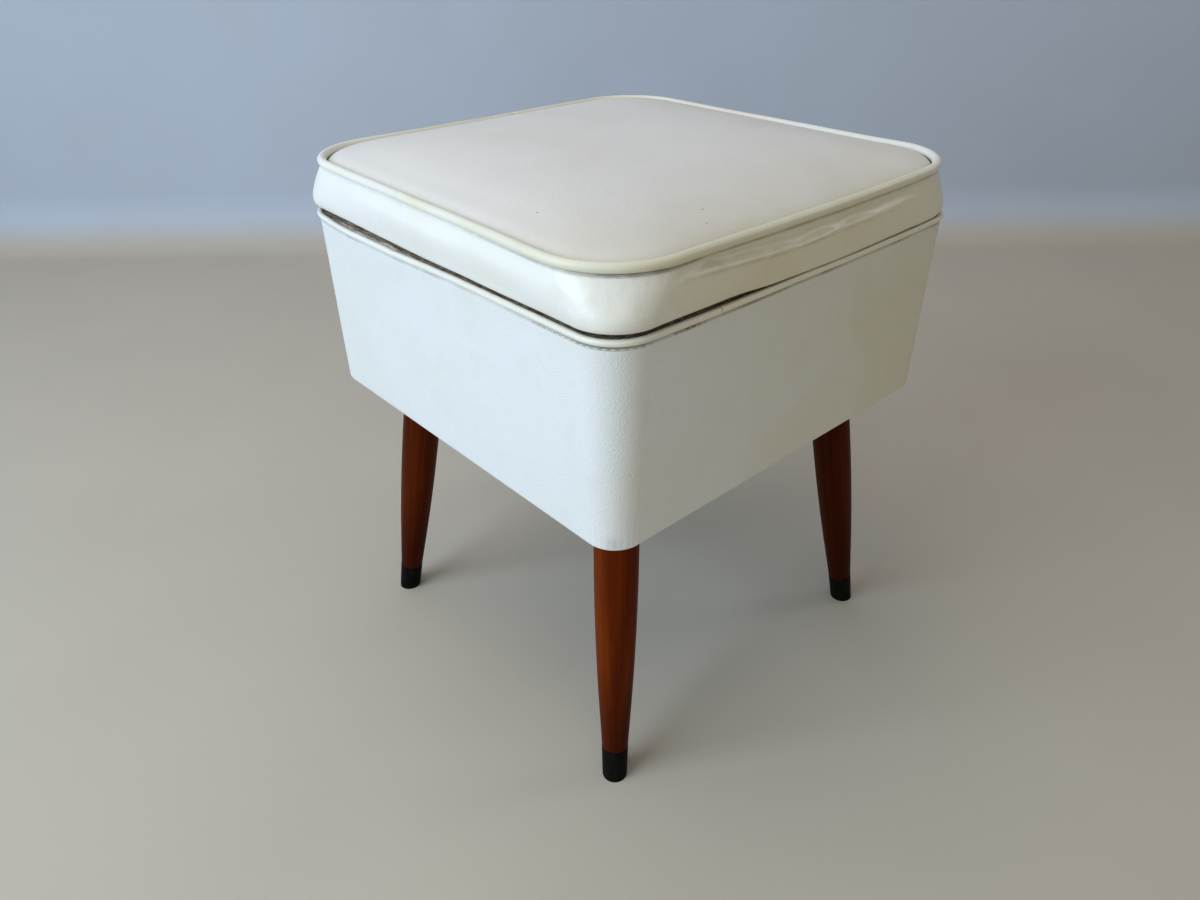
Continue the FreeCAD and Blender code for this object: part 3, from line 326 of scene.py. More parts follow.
hardLooks = {
    "tipBlack": {"colour": (0.0025, 0.0024, 0.0024, 1), "dull": (0.006, 0.0056, 0.005, 1),
                 "bare": (0.03, 0.027, 0.024, 1), "scratch": 0.5, "size": 60.0, "rough": (0.4, 0.55),
                 "specular": 0.03},
    "plateEnamel": {"colour": (0.030, 0.030, 0.031, 1), "dull": (0.05, 0.048, 0.045, 1),
                    "bare": (0.20, 0.19, 0.18, 1), "size": 45.0, "rough": (0.3, 0.5), "grain": 0.15},
    "zincSteel": {"colour": (0.56, 0.57, 0.58, 1), "dull": (0.42, 0.42, 0.40, 1),
                  "bare": (0.7, 0.7, 0.7, 1), "metal": 1.0, "size": 160.0, "rough": (0.29, 0.45)},
    "hingeBrass": {"colour": (0.62, 0.44, 0.17, 1), "dull": (0.36, 0.25, 0.11, 1),
                   "bare": (0.74, 0.56, 0.26, 1), "scratch": 0.5, "metal": 1.0, "size": 120.0,
                   "rough": (0.29, 0.46)},
    "bufferRubber": {"colour": (0.020, 0.019, 0.018, 1), "dull": (0.045, 0.042, 0.04, 1),
                     "bare": (0.08, 0.075, 0.07, 1), "scratch": 0.2, "size": 200.0, "rough": (0.6, 0.8),
                     "grain": 0.2},
    "stapleWire": {"colour": (0.50, 0.50, 0.50, 1), "dull": (0.33, 0.31, 0.29, 1),
                   "bare": (0.66, 0.66, 0.66, 1), "scratch": 0.3, "metal": 1.0, "size": 260.0,
                   "rough": (0.3, 0.5)},
    "seamThread": {"colour": (0.78, 0.76, 0.70, 1), "dull": (0.66, 0.62, 0.54, 1),
                   "bare": (0.84, 0.83, 0.80, 1), "size": 400.0, "rough": (0.55, 0.75), "grain": 0.4},
}
hards = {name: makeHard(name, {**hardCommon, **look}) for name, look in hardLooks.items()}
cardLooks = {
    "tackCard": {"colour": (0.33, 0.24, 0.175, 1), "light": (0.58, 0.51, 0.43, 1),
                 "dark": (0.06, 0.033, 0.02, 1), "fleck": (0.25, 0.25, 1), "streak": 1300.0, "strip": True,
                 "streaked": 0.85},
    "fibreboard": {"colour": (0.24, 0.145, 0.085, 1), "light": (0.33, 0.22, 0.14, 1),
                   "dark": (0.12, 0.07, 0.04, 1), "fleck": (1, 1, 1), "streak": 300.0, "strip": True,
                   "streaked": 0.85},
    "greyCard": {"colour": (0.42, 0.36, 0.29, 1), "light": (0.52, 0.46, 0.38, 1),
                 "dark": (0.36, 0.31, 0.245, 1), "fleck": (1, 1, 1), "streak": 40.0, "strip": False,
                 "streaked": 0.3},
}
cards = {name: makeCard(name, look) for name, look in cardLooks.items()}
print("finishes built")


# shape helpers

evenCorners = (1, 1, 1, 1)


def unit(x):
    return np.clip(x, 0, 1)


def bell(x):
    return np.exp(-x ** 2)


def squareWalk(u, half, corner, corners):
    # A square with rounded corners, walked once as u goes from 0 to 4: the first eight tenths of each
    # quarter run straight along a side (front, right, back, left), the rest turns the corner at its end,
    # whose radius has its own factor. Point and outward normal.
    side = np.floor(u)
    part = u - side
    number = side[0].astype(int) % 4
    factors = np.atleast_2d(np.asarray(corners, float))
    before, after = corner * factors[:, number - 1], corner * factors[:, number]
    run = unit(part / 0.8)
    turn = unit((part - 0.8) / 0.2) * np.pi / 2
    x = (before - half) * (1 - run) + (half - after) * run + after * np.sin(turn)
    y = after * (1 - np.cos(turn)) - half
    c, s = np.cos(side * np.pi / 2), np.sin(side * np.pi / 2)
    point = np.stack([c * x - s * y, s * x + c * y], -1)
    normal = np.stack([c * np.sin(turn) + s * np.cos(turn), s * np.sin(turn) - c * np.cos(turn)], -1)
    return point, np.broadcast_to(normal, point.shape)


def ringGrid(u, half, corner, level, corners=evenCorners):
    # One rounded square for each row, with its own half width, corner and level.
    point, normal = squareWalk(u[None, :], half[:, None], corner[:, None], corners)
    height = np.broadcast_to(level[:, None], point.shape[:2])[..., None]
    return np.concatenate([point, height], -1), np.concatenate([normal, height * 0], -1)


def cornerness(u, reach=0.05):
    # 1 while a corner turns, falling to 0 within reach along the sides.
    part = u - np.floor(u)
    away = np.maximum(np.maximum(0.8 - part, 0) * (part > 0.4), part * (part <= 0.4))
    return unit(1 - away / reach)


def softNoise(points, size, seed):
    # Value noise: numbers scattered on a lattice of that size and blended smoothly in between, from -1 to 1.
    place = points / size
    base = np.floor(place)
    part = place - base
    part = part * part * (3 - 2 * part)
    total = np.zeros(points.shape[:-1])
    for number in range(8):
        step = np.array([number & 1, number >> 1 & 1, number >> 2 & 1])
        mixed = np.sin((base + step) @ np.array([12.9898, 78.233, 37.719]) + seed * 4.137) * 43758.5453
        weight = np.prod(np.where(step, part, 1 - part), -1)
        total += weight * ((mixed - np.floor(mixed)) * 2 - 1)
    return total


def smoothLine(knots, count):
    # Catmull-Rom curve through the knots, at count even steps of its parameter.
    knots = np.asarray(knots, float)
    padded = np.vstack([2 * knots[0] - knots[1], knots, 2 * knots[-1] - knots[-2]])
    t = np.linspace(0, len(knots) - 1, count)
    k = np.minimum(t.astype(int), len(knots) - 2)
    f = (t - k)[:, None]
    a, b, c, d = padded[k], padded[k + 1], padded[k + 2], padded[k + 3]
    even = 2 * b + (c - a) * f
    return 0.5 * (even + (2 * a - 5 * b + 4 * c - d) * f ** 2 + (3 * b - a - 3 * c + d) * f ** 3)


def quads(rows, columns, wrapRows, wrapColumns, first=0):
    # Four-sided faces between neighbouring points of a grid that may close on itself either way.
    r = np.arange(rows if wrapRows else rows - 1)[:, None]
    c = np.arange(columns if wrapColumns else columns - 1)[None, :]
    up, on = (r + 1) % rows * columns, (c + 1) % columns
    found = np.broadcast_arrays(r * columns + c, r * columns + on, up + on, up + c)
    return first + np.stack(found, -1).reshape(-1, 4)


def fan(ring, centre, reverse):
    # Triangles from each side of a ring to one middle point.
    after = np.roll(ring, -1)
    order = (after, ring) if reverse else (ring, after)
    return np.stack([order[0], order[1], np.full(len(ring), centre)], -1)


def makePiece(name, points, faces, material, body, marks=None):
    mesh = bpy.data.meshes.new(name)
    mesh.from_pydata(points.reshape(-1, 3).tolist(), [], [face for part in faces for face in part.tolist()])
    mesh.polygons.foreach_set("use_smooth", np.ones(len(mesh.polygons), bool))
    mesh.materials.append(material)
    for label, values in (marks or {}).items():
        spread = np.broadcast_to(values, points.shape[:-1]).astype(np.float32).ravel()
        mesh.attributes.new(label, "FLOAT", "POINT").data.foreach_set("value", spread)
    mesh.update()
    piece = bpy.data.objects.new(name, mesh)
    bpy.context.scene.collection.objects.link(piece)
    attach(piece, body)
    return piece


def repeated(shape, faces, spots, along, across):
    # The same small shape at each spot, with its X along one direction and its Y along another.
    turned = np.stack([along, across, np.cross(along, across)], 1)
    points = np.einsum("mk,nkj->nmj", shape, turned) + spots[:, None, :]
    shifts = np.arange(len(spots))[:, None, None] * len(shape)
    return points.reshape(-1, 3), [(part[None] + shifts).reshape(-1, part.shape[1]) for part in faces]


columnsPerSide = 140
sideRun = 375 * mm  # length of one unit of the walk, nearly
evenWalk = np.arange(0, 4, 1 / columnsPerSide)


def walkWith(spots):
    # The even walk with extra columns close to some places along it.
    extra = [spot + np.arange(-9, 9.1, 0.45) * mm / sideRun for spot in spots]
    return np.unique(np.concatenate([evenWalk] + extra).round(6)) % 4


# how the worn piece strays from true, in millimetres along the walk: the rim sags between its corners,
# the lid's corners differ, its side bows out and the band draws in

stray = {"sagAt": [0, 0.03, 0.105, 0.28, 0.4, 0.48, 0.61, 0.72, 0.82, 0.97, 1.07, 1.19, 1.28, 1.36, 1.5,
                   1.72, 1.82, 1.95, 3.85, 4],
         "sagIs": [1.4, 2.4, 3.4, 3.1, 1.9, 1.2, 1.1, 0.6, 0, 0, 0.8, 1.3, 1.5, 1.4, 2.1, 1.6, 0.6, 0, 0.2,
                   1.4],
         "rimAt": [0, 0.03, 0.1, 0.28, 0.42, 0.55, 4], "rimIs": [0, 0.8, 1.4, 1.2, 0.3, 0, 0],
         "pushAt": [0, 0.5, 0.66, 0.76, 0.82, 0.9, 1.0, 1.1, 1.25, 1.45, 1.65, 1.8, 1.9, 4],
         "pushIs": [0, 0, 0.8, 2.0, 1.6, 0, -0.6, -0.4, 0.8, 1.6, 1.4, 0.4, 0, 0],
         "hemAt": [0, 1.0, 1.2, 1.27, 1.35, 1.6, 1.78, 1.88, 4],
         "hemIs": [0, 0, 0.3, 1.6, 2.0, 2.2, 1.6, 0, 0],
         "liftAt": [0, 0.1, 0.25, 0.5, 0.8, 1.2, 1.5, 1.75, 1.85, 1.95, 2.1, 2.6, 3.4, 3.8, 4],
         "liftIs": [2.2, 1.4, 0.9, 0.3, 0, -0.2, -0.5, 0, 1.2, 1.4, 0.6, 0.5, 1.2, 2.6, 2.2],
         "droopAt": [0, 0.05, 0.12, 0.34, 0.49, 0.62, 0.74, 0.82, 0.95, 1.04, 1.14, 1.18, 1.225, 1.27, 1.35,
                     1.49, 1.6, 1.78, 1.86, 1.95, 2.05, 3.7, 3.9, 4],
         "droopIs": [0.6, 0.9, 1.15, 2.1, 1.65, 1.9, 1.3, 1.7, 1.8, 1.4, 1.8, 1.6, 2.0, 3.2, 3.4, 4.2, 3.6,
                     3.4, 2.0, 0.5, 0, 0, 0.3, 0.6],
         "drawAt": [0, 0.06, 0.22, 0.6, 0.76, 0.86, 1.1, 1.3, 1.6, 1.85, 2.2, 2.7, 2.95, 3.2, 3.6, 3.9, 4],
         "drawIs": [0, 0.4, 3, 3, 1.6, 0.2, 0.2, 0.9, 0.9, 0, 0.5, 0.5, 0, 2, 2, 0, 0],
         "weltCorners": (0.95, 0.92, 1.0, 0.86), "hemCorners": (0.95, 1.15, 1.0, 0.85)}

# how far each vinyl has yellowed along the walk
yellowed = {"coverAt": [0, 1.05, 1.3, 1.8, 2.1, 3, 4], "coverIs": [0, 0, 0.35, 1, 0.6, 0.2, 0],
            "bandAt": [0, 0.7, 0.9, 1.1, 1.3, 1.8, 2, 3, 4], "bandIs": [0, 0, 0.3, 0.7, 1, 1, 0.4, 0.2, 0],
            "topAt": [0, 0.55, 0.8, 1.1, 1.75, 1.9, 2, 4], "topIs": [0, 0.1, 0.6, 1, 1, 0.6, 0, 0],
            "weltAt": [0, 0.2, 0.5, 0.75, 0.95, 1.75, 1.86, 2, 2.8, 2.95, 3.1, 3.7, 3.85, 4],
            "weltIs": [0.05, 0.15, 0.45, 0.8, 1, 1, 0.3, 0, 0, 0.4, 0.8, 0.8, 0.4, 0.05],
            "rimAt": [0, 0.8, 1.1, 1.8, 2, 3, 4], "rimIs": [0, 0.1, 0.7, 1, 0.5, 0.2, 0]}


def yellowing(kind, walk):
    # Straight-line reading of a table along the walk.
    return np.interp(walk % 4, yellowed[kind + "At"], yellowed[kind + "Is"])


def strayed(kind, walk):
    # Straight-line reading of a table, eased by averaging over a short stretch to both sides.
    shifts = np.linspace(-0.03, 0.03, 7)
    read = np.interp((walk[..., None] + shifts) % 4, stray[kind + "At"], stray[kind + "Is"])
    return read.mean(-1) * mm


# body cover

coverShape = {"taper": 2 * mm, "lowCorner": 22 * mm, "rimCorner": 28 * mm, "thick": 1 * mm,
              "edge": 1.6 * mm, "under": 16 * mm, "wave": 0.28 * mm, "ripple": 0.12 * mm,
              "drawIn": 0.85 * mm, "gather": 0.22 * mm, "seamAt": 2.4, "seamDepth": 0.8 * mm,
              "seamShadeWide": 2.4 * mm, "seamShadeAt": [0, 0.6, 0.8, 1.1, 1.3, 2, 4],
              "seamShadeIs": [0.45, 0.45, 0.95, 0.95, 0.7, 0.5, 0.45],
              "scuffAt": np.array([170, -170, 250]) * mm}


def makeBodyCover():
    # A rounded square lofted from the lower edge to the rim, with a turned-under border and an inner face;
    # noise waves the outside slightly, it is drawn in below the welt, and a bell-shaped groove at the back
    # is its seam.
    shape = coverShape
    low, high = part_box("body_cover")
    height = high.z - low.z
    turn = np.linspace(0, np.pi / 2, 7)
    edge, thick, under, drawIn = shape["edge"], shape["thick"], shape["under"], shape["drawIn"]
    inset = np.concatenate([np.linspace(under, edge, 7)[:-1], edge - edge * np.sin(turn), np.zeros(56),
                            [0.1 * drawIn, 0.45 * drawIn, drawIn, thick, thick, thick, under]])
    wall = np.linspace(edge, height - shape["seamShadeWide"], 57)[1:]
    rise = np.concatenate([np.zeros(6), edge - edge * np.cos(turn), wall,
                           height - np.array([1.5, 0.8, 0.2, 0.2]) * mm, [height / 2, thick, thick]])
    share = rise / height
    half = high.x - shape["taper"] * (1 - share) - inset
    corner = shape["lowCorner"] + (shape["rimCorner"] - shape["lowCorner"]) * share - inset
    walk = walkWith([shape["seamAt"]])
    grid, out = ringGrid(walk, half, corner, low.z + rise)
    outside = ((inset < 0.3 * mm) & (np.arange(len(inset)) > 11)).astype(float)[:, None]
    fade = outside * unit(np.minimum(rise, height - rise) / (9 * mm))[:, None]
    push = shape["wave"] * softNoise(grid, 0.075, 3) + shape["ripple"] * softNoise(grid, 0.026, 5)
    turned = cornerness(walk, 0.02)[None, :]
    gather = shape["gather"] * np.sin(walk * 260)[None, :] * turned * np.exp(-rise / (9 * mm))[:, None]
    apart = (walk - shape["seamAt"])[None, :] * sideRun
    seam = bell(apart / (0.8 * mm)) - 0.45 * bell((np.abs(apart) - 3 * mm) / (1.6 * mm))
    push = push * fade + gather * outside - shape["seamDepth"] * seam * outside
    near = unit(1 - (height - rise) / (45 * mm))[:, None] ** 1.5
    grid = grid + out * (push + strayed("rim", walk) * near * (inset < 1.1 * mm)[:, None])[..., None]
    grid[..., 2] -= strayed("sag", walk) * near
    # painted shade: a dark line along the top of the cover just under the rim welt, stronger round the front
    # corner; the scuff below is real wear
    line = unit((rise - height + shape["seamShadeWide"]) / (0.9 * mm))[:, None]
    line = line * np.interp(walk, shape["seamShadeAt"], shape["seamShadeIs"])
    shadeAndGrime = line * unit(0.75 + 0.5 * softNoise(grid, 0.02, 7))
    scuff = np.exp(-((grid - shape["scuffAt"]) ** 2).sum(-1) / (5 * mm) ** 2)
    faces = quads(len(rise), len(walk), True, True)
    piece = makePiece("bodyCover", grid, [faces], vinyls["coverVinyl"], "base",
                      {"shadeAndGrime": np.maximum(shadeAndGrime, 0.3 * scuff), "yellow": yellowing("cover", walk)})
    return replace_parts(piece, "body_cover")


makeBodyCover()
print("body cover made")


# welts

rimWeltShape = {"half": 177.5 * mm, "corner": 27.5 * mm, "level": 389.5 * mm, "radius": 2.2 * mm,
                "tailInner": 164.5 * mm, "tailLevel": 387 * mm, "tailThick": 1 * mm, "hinge": 95 * mm,
                "notch": 21 * mm, "joinAt": -91 * mm, "wander": 0.18 * mm, "topShadeAndDirt": 0.5}
lidWeltShape = {"half": 176.2 * mm, "corner": 55 * mm, "level": 428.2 * mm, "radius": 3.3 * mm,
                "wander": 0.3 * mm, "joinAt": 3.3, "topShadeAndDirt": 0.0}


def cordGrid(walk, shape, joins, seed, corners, push, lift, rows=20):
    # A round section carried along the rounded square; it wanders a little and pinches where two ends meet.
    half, corner, level = (np.array([shape[key]]) for key in ("half", "corner", "level"))
    path, out = ringGrid(walk, half, corner, level, corners)
    path, out = path[0] + out[0] * push[:, None], out[0]
    path[:, 2] += lift
    path = path + out * (shape["wander"] * softNoise(path, 0.05, seed))[:, None]
    path[:, 2] += 0.7 * shape["wander"] * softNoise(path, 0.06, seed + 1)
    radius = shape["radius"] * (1 + 0.03 * softNoise(path, 0.02, seed + 2))
    for spot in joins:
        apart = (walk - spot) * sideRun
        radius = radius * (1 - 0.6 * bell(apart / (0.6 * mm)))
        step = np.where(apart < 0, np.exp(apart / (12 * mm)), 0)
        path = path + out * (0.5 * mm * step)[:, None]
    angle = np.arange(rows) / rows * 2 * np.pi
    lean = np.cos(angle)[:, None, None] * out[None] + np.sin(angle)[:, None, None] * np.array([0, 0, 1])
    # painted shade with soiling: the upper side of the cord is darkened where the lid shades it, by the
    # strength set for each welt; the ends at a join are dark joints
    top = unit((np.sin(angle) - 0.5) / 0.3) * unit((0.75 - np.cos(angle)) / 0.3)
    shadeAndGrime = 0.55 * shape["topShadeAndDirt"] * top[:, None] * unit(0.7 + 0.6 * softNoise(path, 0.012, seed + 3))
    for spot in joins:
        shadeAndGrime = np.maximum(shadeAndGrime, bell((walk - spot) * sideRun / (0.55 * mm)))
    return path[None] + lean * radius[None, :, None], shadeAndGrime


def alongBack(x, shape):
    # Where a place X on the back lies along the walk.
    return 2 + 0.4 * (1 - x / (shape["half"] - shape["corner"]))


def makeRimWelt():
    # Two lengths of cord, one round the front between the hinges' outer ends and one between the hinges, on a
    # flat tail that runs under the tack strip.
    shape = rimWeltShape
    outer, inner = shape["hinge"] + shape["notch"], shape["hinge"] - shape["notch"]
    join = 1 + 0.4 * (1 + shape["joinAt"] / (shape["half"] - shape["corner"]))
    longWalk = np.arange(alongBack(-outer, shape), 4 + alongBack(outer, shape), 1 / columnsPerSide)
    longWalk = np.unique(np.concatenate([longWalk, 4 + join + np.arange(-9, 9.1, 0.3) * mm / sideRun]))
    shortWalk = np.arange(alongBack(inner, shape), alongBack(-inner, shape), 1 / columnsPerSide)
    points, faces, shadeAndGrime, yellow, count = [], [], [], [], 0
    for walk, joins in ((longWalk, [4 + join]), (shortWalk, [])):
        shifted = np.where(walk >= 4, walk - 4, walk)
        grid, darkened = cordGrid(shifted, shape, [spot - 4 for spot in joins], 11, evenCorners,
                                 strayed("rim", shifted), -strayed("sag", shifted))
        rows, columns = grid.shape[:2]
        index = count + np.arange(rows * columns).reshape(rows, columns)
        points += [grid.reshape(-1, 3), grid[:, 0].mean(0)[None], grid[:, -1].mean(0)[None]]
        shadeAndGrime += [darkened.ravel(), np.zeros(2)]
        yellow += [np.tile(yellowing("rim", shifted), rows), np.zeros(2)]
        faces += [quads(rows, columns, True, False, count), fan(index[:, 0], count + rows * columns, False),
                  fan(index[:, -1], count + rows * columns + 1, True)]
        count += rows * columns + 2
    edges = np.array([shape["tailInner"], shape["half"], shape["half"], shape["tailInner"]])
    levels = shape["tailLevel"] + np.array([0, 0, shape["tailThick"], shape["tailThick"]])
    tail, out = ringGrid(evenWalk, edges, edges - shape["half"] + shape["corner"], levels)
    points.append(tail.reshape(-1, 3))
    shadeAndGrime.append(np.full(4 * len(evenWalk), 0.8))
    yellow.append(np.zeros(4 * len(evenWalk)))
    faces.append(quads(4, len(evenWalk), True, True, count))
    piece = makePiece("rimWelt", np.concatenate(points), faces, vinyls["rimVinyl"], "base",
                      {"shadeAndGrime": np.concatenate(shadeAndGrime), "yellow": np.concatenate(yellow)})
    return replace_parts(piece, "rim_welt")


def makeLidWelt():
    # One length of cord round the seat, its ends meeting on the left side.
    walk = walkWith([lidWeltShape["joinAt"]])
    grid, shadeAndGrime = cordGrid(walk, lidWeltShape, [lidWeltShape["joinAt"]], 21, stray["weltCorners"],
                           strayed("push", walk), strayed("lift", walk), 24)
    faces = quads(grid.shape[0], grid.shape[1], True, True)
    piece = makePiece("lidWelt", grid, [faces], vinyls["weltVinyl"], "lid",
                      {"shadeAndGrime": shadeAndGrime, "yellow": yellowing("welt", walk)})
    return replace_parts(piece, "lid_welt")


makeRimWelt()
makeLidWelt()
print("welts made")


# lid band

bandShape = {"hemHalf": 178.3 * mm, "hemCorner": 33 * mm, "low": 395.4 * mm, "thick": 1 * mm,
             "wave": 0.5 * mm, "ripple": 0.3 * mm, "crease": 0.16 * mm, "gather": 0.45 * mm,
             "gatherPitch": 7 * mm, "ridge": 1.5 * mm, "ridgeWide": 2.1 * mm, "valley": 2.7 * mm,
             "valleyUp": 5.2 * mm, "valleyWide": 3.1 * mm, "ridgeAt": [1.0, 1.08, 1.55, 1.8],
             "ridgeIs": [0, 1, 0.8, 0], "crestAt": [1.05, 1.2, 1.33, 1.5, 1.7, 1.85],
             "crestIs": [21, 19.5, 17, 18.5, 20, 20], "drawLevel": 3.5 * mm, "drawWide": 6.8 * mm,
             "fullLevel": 19 * mm, "fullWide": 5 * mm, "fullShare": 0.33, "hangWide": 6 * mm,
             "shadeAndDirtFrom": 27.3 * mm, "shadeAndDirtAt": [0, 0.5, 0.75, 0.9, 1.1, 1.3, 1.8, 2, 4],
             "shadeAndDirtIs": [0.1, 0.1, 0.5, 0.7, 0.6, 0.4, 0.3, 0.1, 0.1], "hemDarkening": 0.055, "hemDarkeningWide": 8 * mm,
             "crinkleAt": [0, 0.6, 0.8, 0.86, 1.0, 1.1, 1.75, 1.9, 4],
             "crinkleIs": [0.02, 0.05, 0.35, 0.95, 0.95, 0.7, 0.6, 0.02, 0.02],
             "rows": 74, "hemRow": 10, "ridgeRow": 40, "gatherRow": 60,
             "profile": [(-22, 0), (-15, 0), (-8, 0), (-3.6, 0.02), (-1.0, 0.35), (0.7, 1.2), (1.75, 2.8),
                         (2.3, 4.8), (2.45, 7), (2.3, 9.5), (1.95, 12.5), (1.5, 15.8), (1.0, 19),
                         (0.45, 22), (-0.2, 24.8), (-1.0, 27.2), (-2.1, 29.45)],
             "cornerAt": [0, 3.5, 7, 12, 20, 29.45], "cornerIs": [33, 34.5, 37, 41.5, 47.5, 55]}


def makeLidBand():
    # A profile carried round the lid: flange under the board, rolled hem, a bulging side that draws in
    # under the welt, and the inner face back down. Noise, a bell-shaped crease with a hollow above it on the
    # right and sine gathers below the welt push it in and out, and its hem hangs unevenly.
    shape = bandShape
    line = smoothLine(shape["profile"], shape["rows"]) * mm
    offset, rise = line[:, 0], line[:, 1]
    top = rise[-1]
    inner = offset[::-6] - shape["thick"]
    innerRise = np.maximum(rise[::-6], shape["thick"])
    raised = innerRise > 1.01 * shape["thick"]
    offset = np.concatenate([offset, inner[raised], [-4 * mm, offset[0]]])
    rise = np.concatenate([rise, innerRise[raised], [shape["thick"], shape["thick"]]])
    corner = np.interp(rise / mm, shape["cornerAt"], shape["cornerIs"]) * mm + np.minimum(offset, 0)
    corner = np.where(rise < 1.2 * mm, shape["hemCorner"] + offset, corner)
    walk = evenWalk
    share = unit(rise / top)[:, None]
    corners = np.array(stray["hemCorners"]) * (1 - share) + np.array(stray["weltCorners"]) * share
    grid, out = ringGrid(walk, shape["hemHalf"] + offset, corner, shape["low"] + rise, corners)
    rows = np.arange(len(rise))[:, None]
    moved = strayed("hem", walk) * (1 - share) + strayed("push", walk) * share
    loose = unit((offset + 12 * mm) / (8 * mm))[:, None]
    grid = grid + out * (moved * loose)[..., None]
    outer = rows < shape["rows"]
    outside = outer & (rise > 0.2 * mm)[:, None]
    skin = (outside | (rise > 1.2 * shape["thick"])[:, None]).astype(float)
    body = skin * np.sin(np.pi * share) ** 0.7
    push = shape["wave"] * softNoise(grid * [1, 1, 0.6], 0.085, 31)
    push = push + shape["ripple"] * softNoise(grid, 0.028, 33)
    turned = cornerness(walk, 0.06)[None, :]
    push = (push + shape["crease"] * (1 + 1.2 * turned) * softNoise(grid, 0.010, 34)) * body
    ridgeLine = grid[shape["ridgeRow"]]
    crest = np.interp(walk, shape["crestAt"], shape["crestIs"]) * mm + 1 * mm * softNoise(ridgeLine, 0.03, 36)
    level = bell((rise[:, None] - crest) / shape["ridgeWide"])
    hollow = bell((rise[:, None] - crest - shape["valleyUp"]) / shape["valleyWide"])
    strong = np.interp(walk, shape["ridgeAt"], shape["ridgeIs"])
    strong = strong * (0.8 + 0.55 * softNoise(ridgeLine, 0.016, 38))
    push += (shape["ridge"] * level - shape["valley"] * hollow) * strong * skin
    drawn = bell((rise - shape["drawLevel"]) / shape["drawWide"])[:, None] * loose
    fuller = shape["fullShare"] * bell((rise - shape["fullLevel"]) / shape["fullWide"])[:, None]
    push += strayed("draw", walk) * (fuller - drawn)
    gatherLine = grid[shape["gatherRow"]]
    steps = np.diff(gatherLine[:, :2], axis=0, append=gatherLine[:1, :2])
    length = np.cumsum(np.linalg.norm(steps, axis=-1))
    phase = 2 * np.pi * length / shape["gatherPitch"] + 2.2 * softNoise(gatherLine, 0.02, 35)
    below = np.exp(-(top - rise) / (6.5 * mm))[:, None] * unit((top - rise) / (1.5 * mm))[:, None]
    gathered = np.maximum(turned, 0.3) * (0.6 + 0.6 * softNoise(gatherLine, 0.013, 39))
    push += shape["gather"] * np.sin(phase)[None, :] * below * gathered * skin
    grid = grid + out * push[..., None]
    droop = strayed("droop", walk) + 0.7 * strayed("draw", walk) * (walk < 2)
    hemLine = grid[shape["hemRow"]]
    droop += 0.25 * mm * softNoise(hemLine, 0.05, 37) * (hemLine[:, 1] < 0.12)
    hang = bell((rise - 1 * mm) / shape["hangWide"])[:, None] * loose
    grid[..., 2] += strayed("lift", walk) * share - droop[None, :] * hang * outer
    # painted shade with soiling: a dark line on the band just under the lid welt, strongest round the front
    # corner
    under = unit((rise - shape["shadeAndDirtFrom"]) / (0.9 * mm))[:, None]
    shadeAndGrime = under * np.interp(walk, shape["shadeAndDirtAt"], shape["shadeAndDirtIs"])
    # darker towards the hem along the front side
    hemDarkened = shape["hemDarkening"] * unit(1.2 - rise / shape["hemDarkeningWide"])[:, None] * (walk < 0.85)
    crinkle = np.interp(walk, shape["crinkleAt"], shape["crinkleIs"]) * body * (0.5 + 2.6 * level * strong)
    piece = makePiece("lidBand", grid, [quads(len(rise), len(walk), True, True)], vinyls["bandVinyl"], "lid",
                      {"shadeAndGrime": np.maximum(shadeAndGrime, hemDarkened) * outside, "crinkle": crinkle,
                                     "yellow": yellowing("band", walk)})
    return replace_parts(piece, "lid_band")


makeLidBand()
print("lid band made")


# lid cushion

cushionShape = {"half": 172.85 * mm, "corner": 51.65 * mm, "level": 428.2 * mm, "crown": 18 * mm,
                "fullness": 7, "dome": 0.15, "cornerFall": 0.22, "leanLeft": 0.07, "leanFront": 0.07,
                "bottom": 405.5 * mm, "seamDip": 1.0 * mm, "cornerDip": 1.3 * mm, "seamReach": 2.6 * mm,
                "lump": 0.35 * mm, "rings": 72, "columns": 400, "tuck": 2.2 * mm,
                "sideAt": [0, 0.15, 0.3, 1], "sideIs": [172.6, 173.4, 174.6, 177.4],
                "sideCornerAt": [0, 0.3, 1], "sideCornerIs": [51.4, 49.5, 39.5], "sideRows": 8,
                "floorHalf": [0.12, 0.06, 0.01], "floorCorner": [0.026, 0.013, 0.003],
                "seamShade": 0.6, "yellowReach": 50 * mm}
blowUp = {"voxel": 5 * mm, "startCrown": 14.5 * mm, "pressure": 4.0, "frames": 20, "cap": 8 * mm,
          "cell": 4 * mm, "cells": 100, "margin": 4 * mm, "stiffness": 40, "bending": 2}


def crownGrid(steps, crown, walk):
    # Rounded squares that shrink towards the middle while their level rises, steeply at the edge (one minus
    # a high power of the step), then as a flat dome (its square); lower towards the corners, and fuller on
    # the worn-in side.
    shape = cushionShape
    grid, out = ringGrid(walk, steps * shape["half"], steps * shape["corner"], steps * 0 + shape["level"],
                         stray["weltCorners"])
    grid = grid + out * (strayed("push", walk) * steps[:, None] ** 4)[..., None]
    grid[..., 2] += strayed("lift", walk) * steps[:, None] ** 5
    rise = 1 - (1 - shape["dome"]) * steps ** shape["fullness"] - shape["dome"] * steps ** 2
    x, y = grid[..., 0] / shape["half"], grid[..., 1] / shape["half"]
    full = 1 - shape["cornerFall"] * np.abs(x * y) ** 1.5
    full = full * (1 - shape["leanLeft"] * x - shape["leanFront"] * y)
    grid[..., 2] += crown * rise[:, None] * full
    return grid


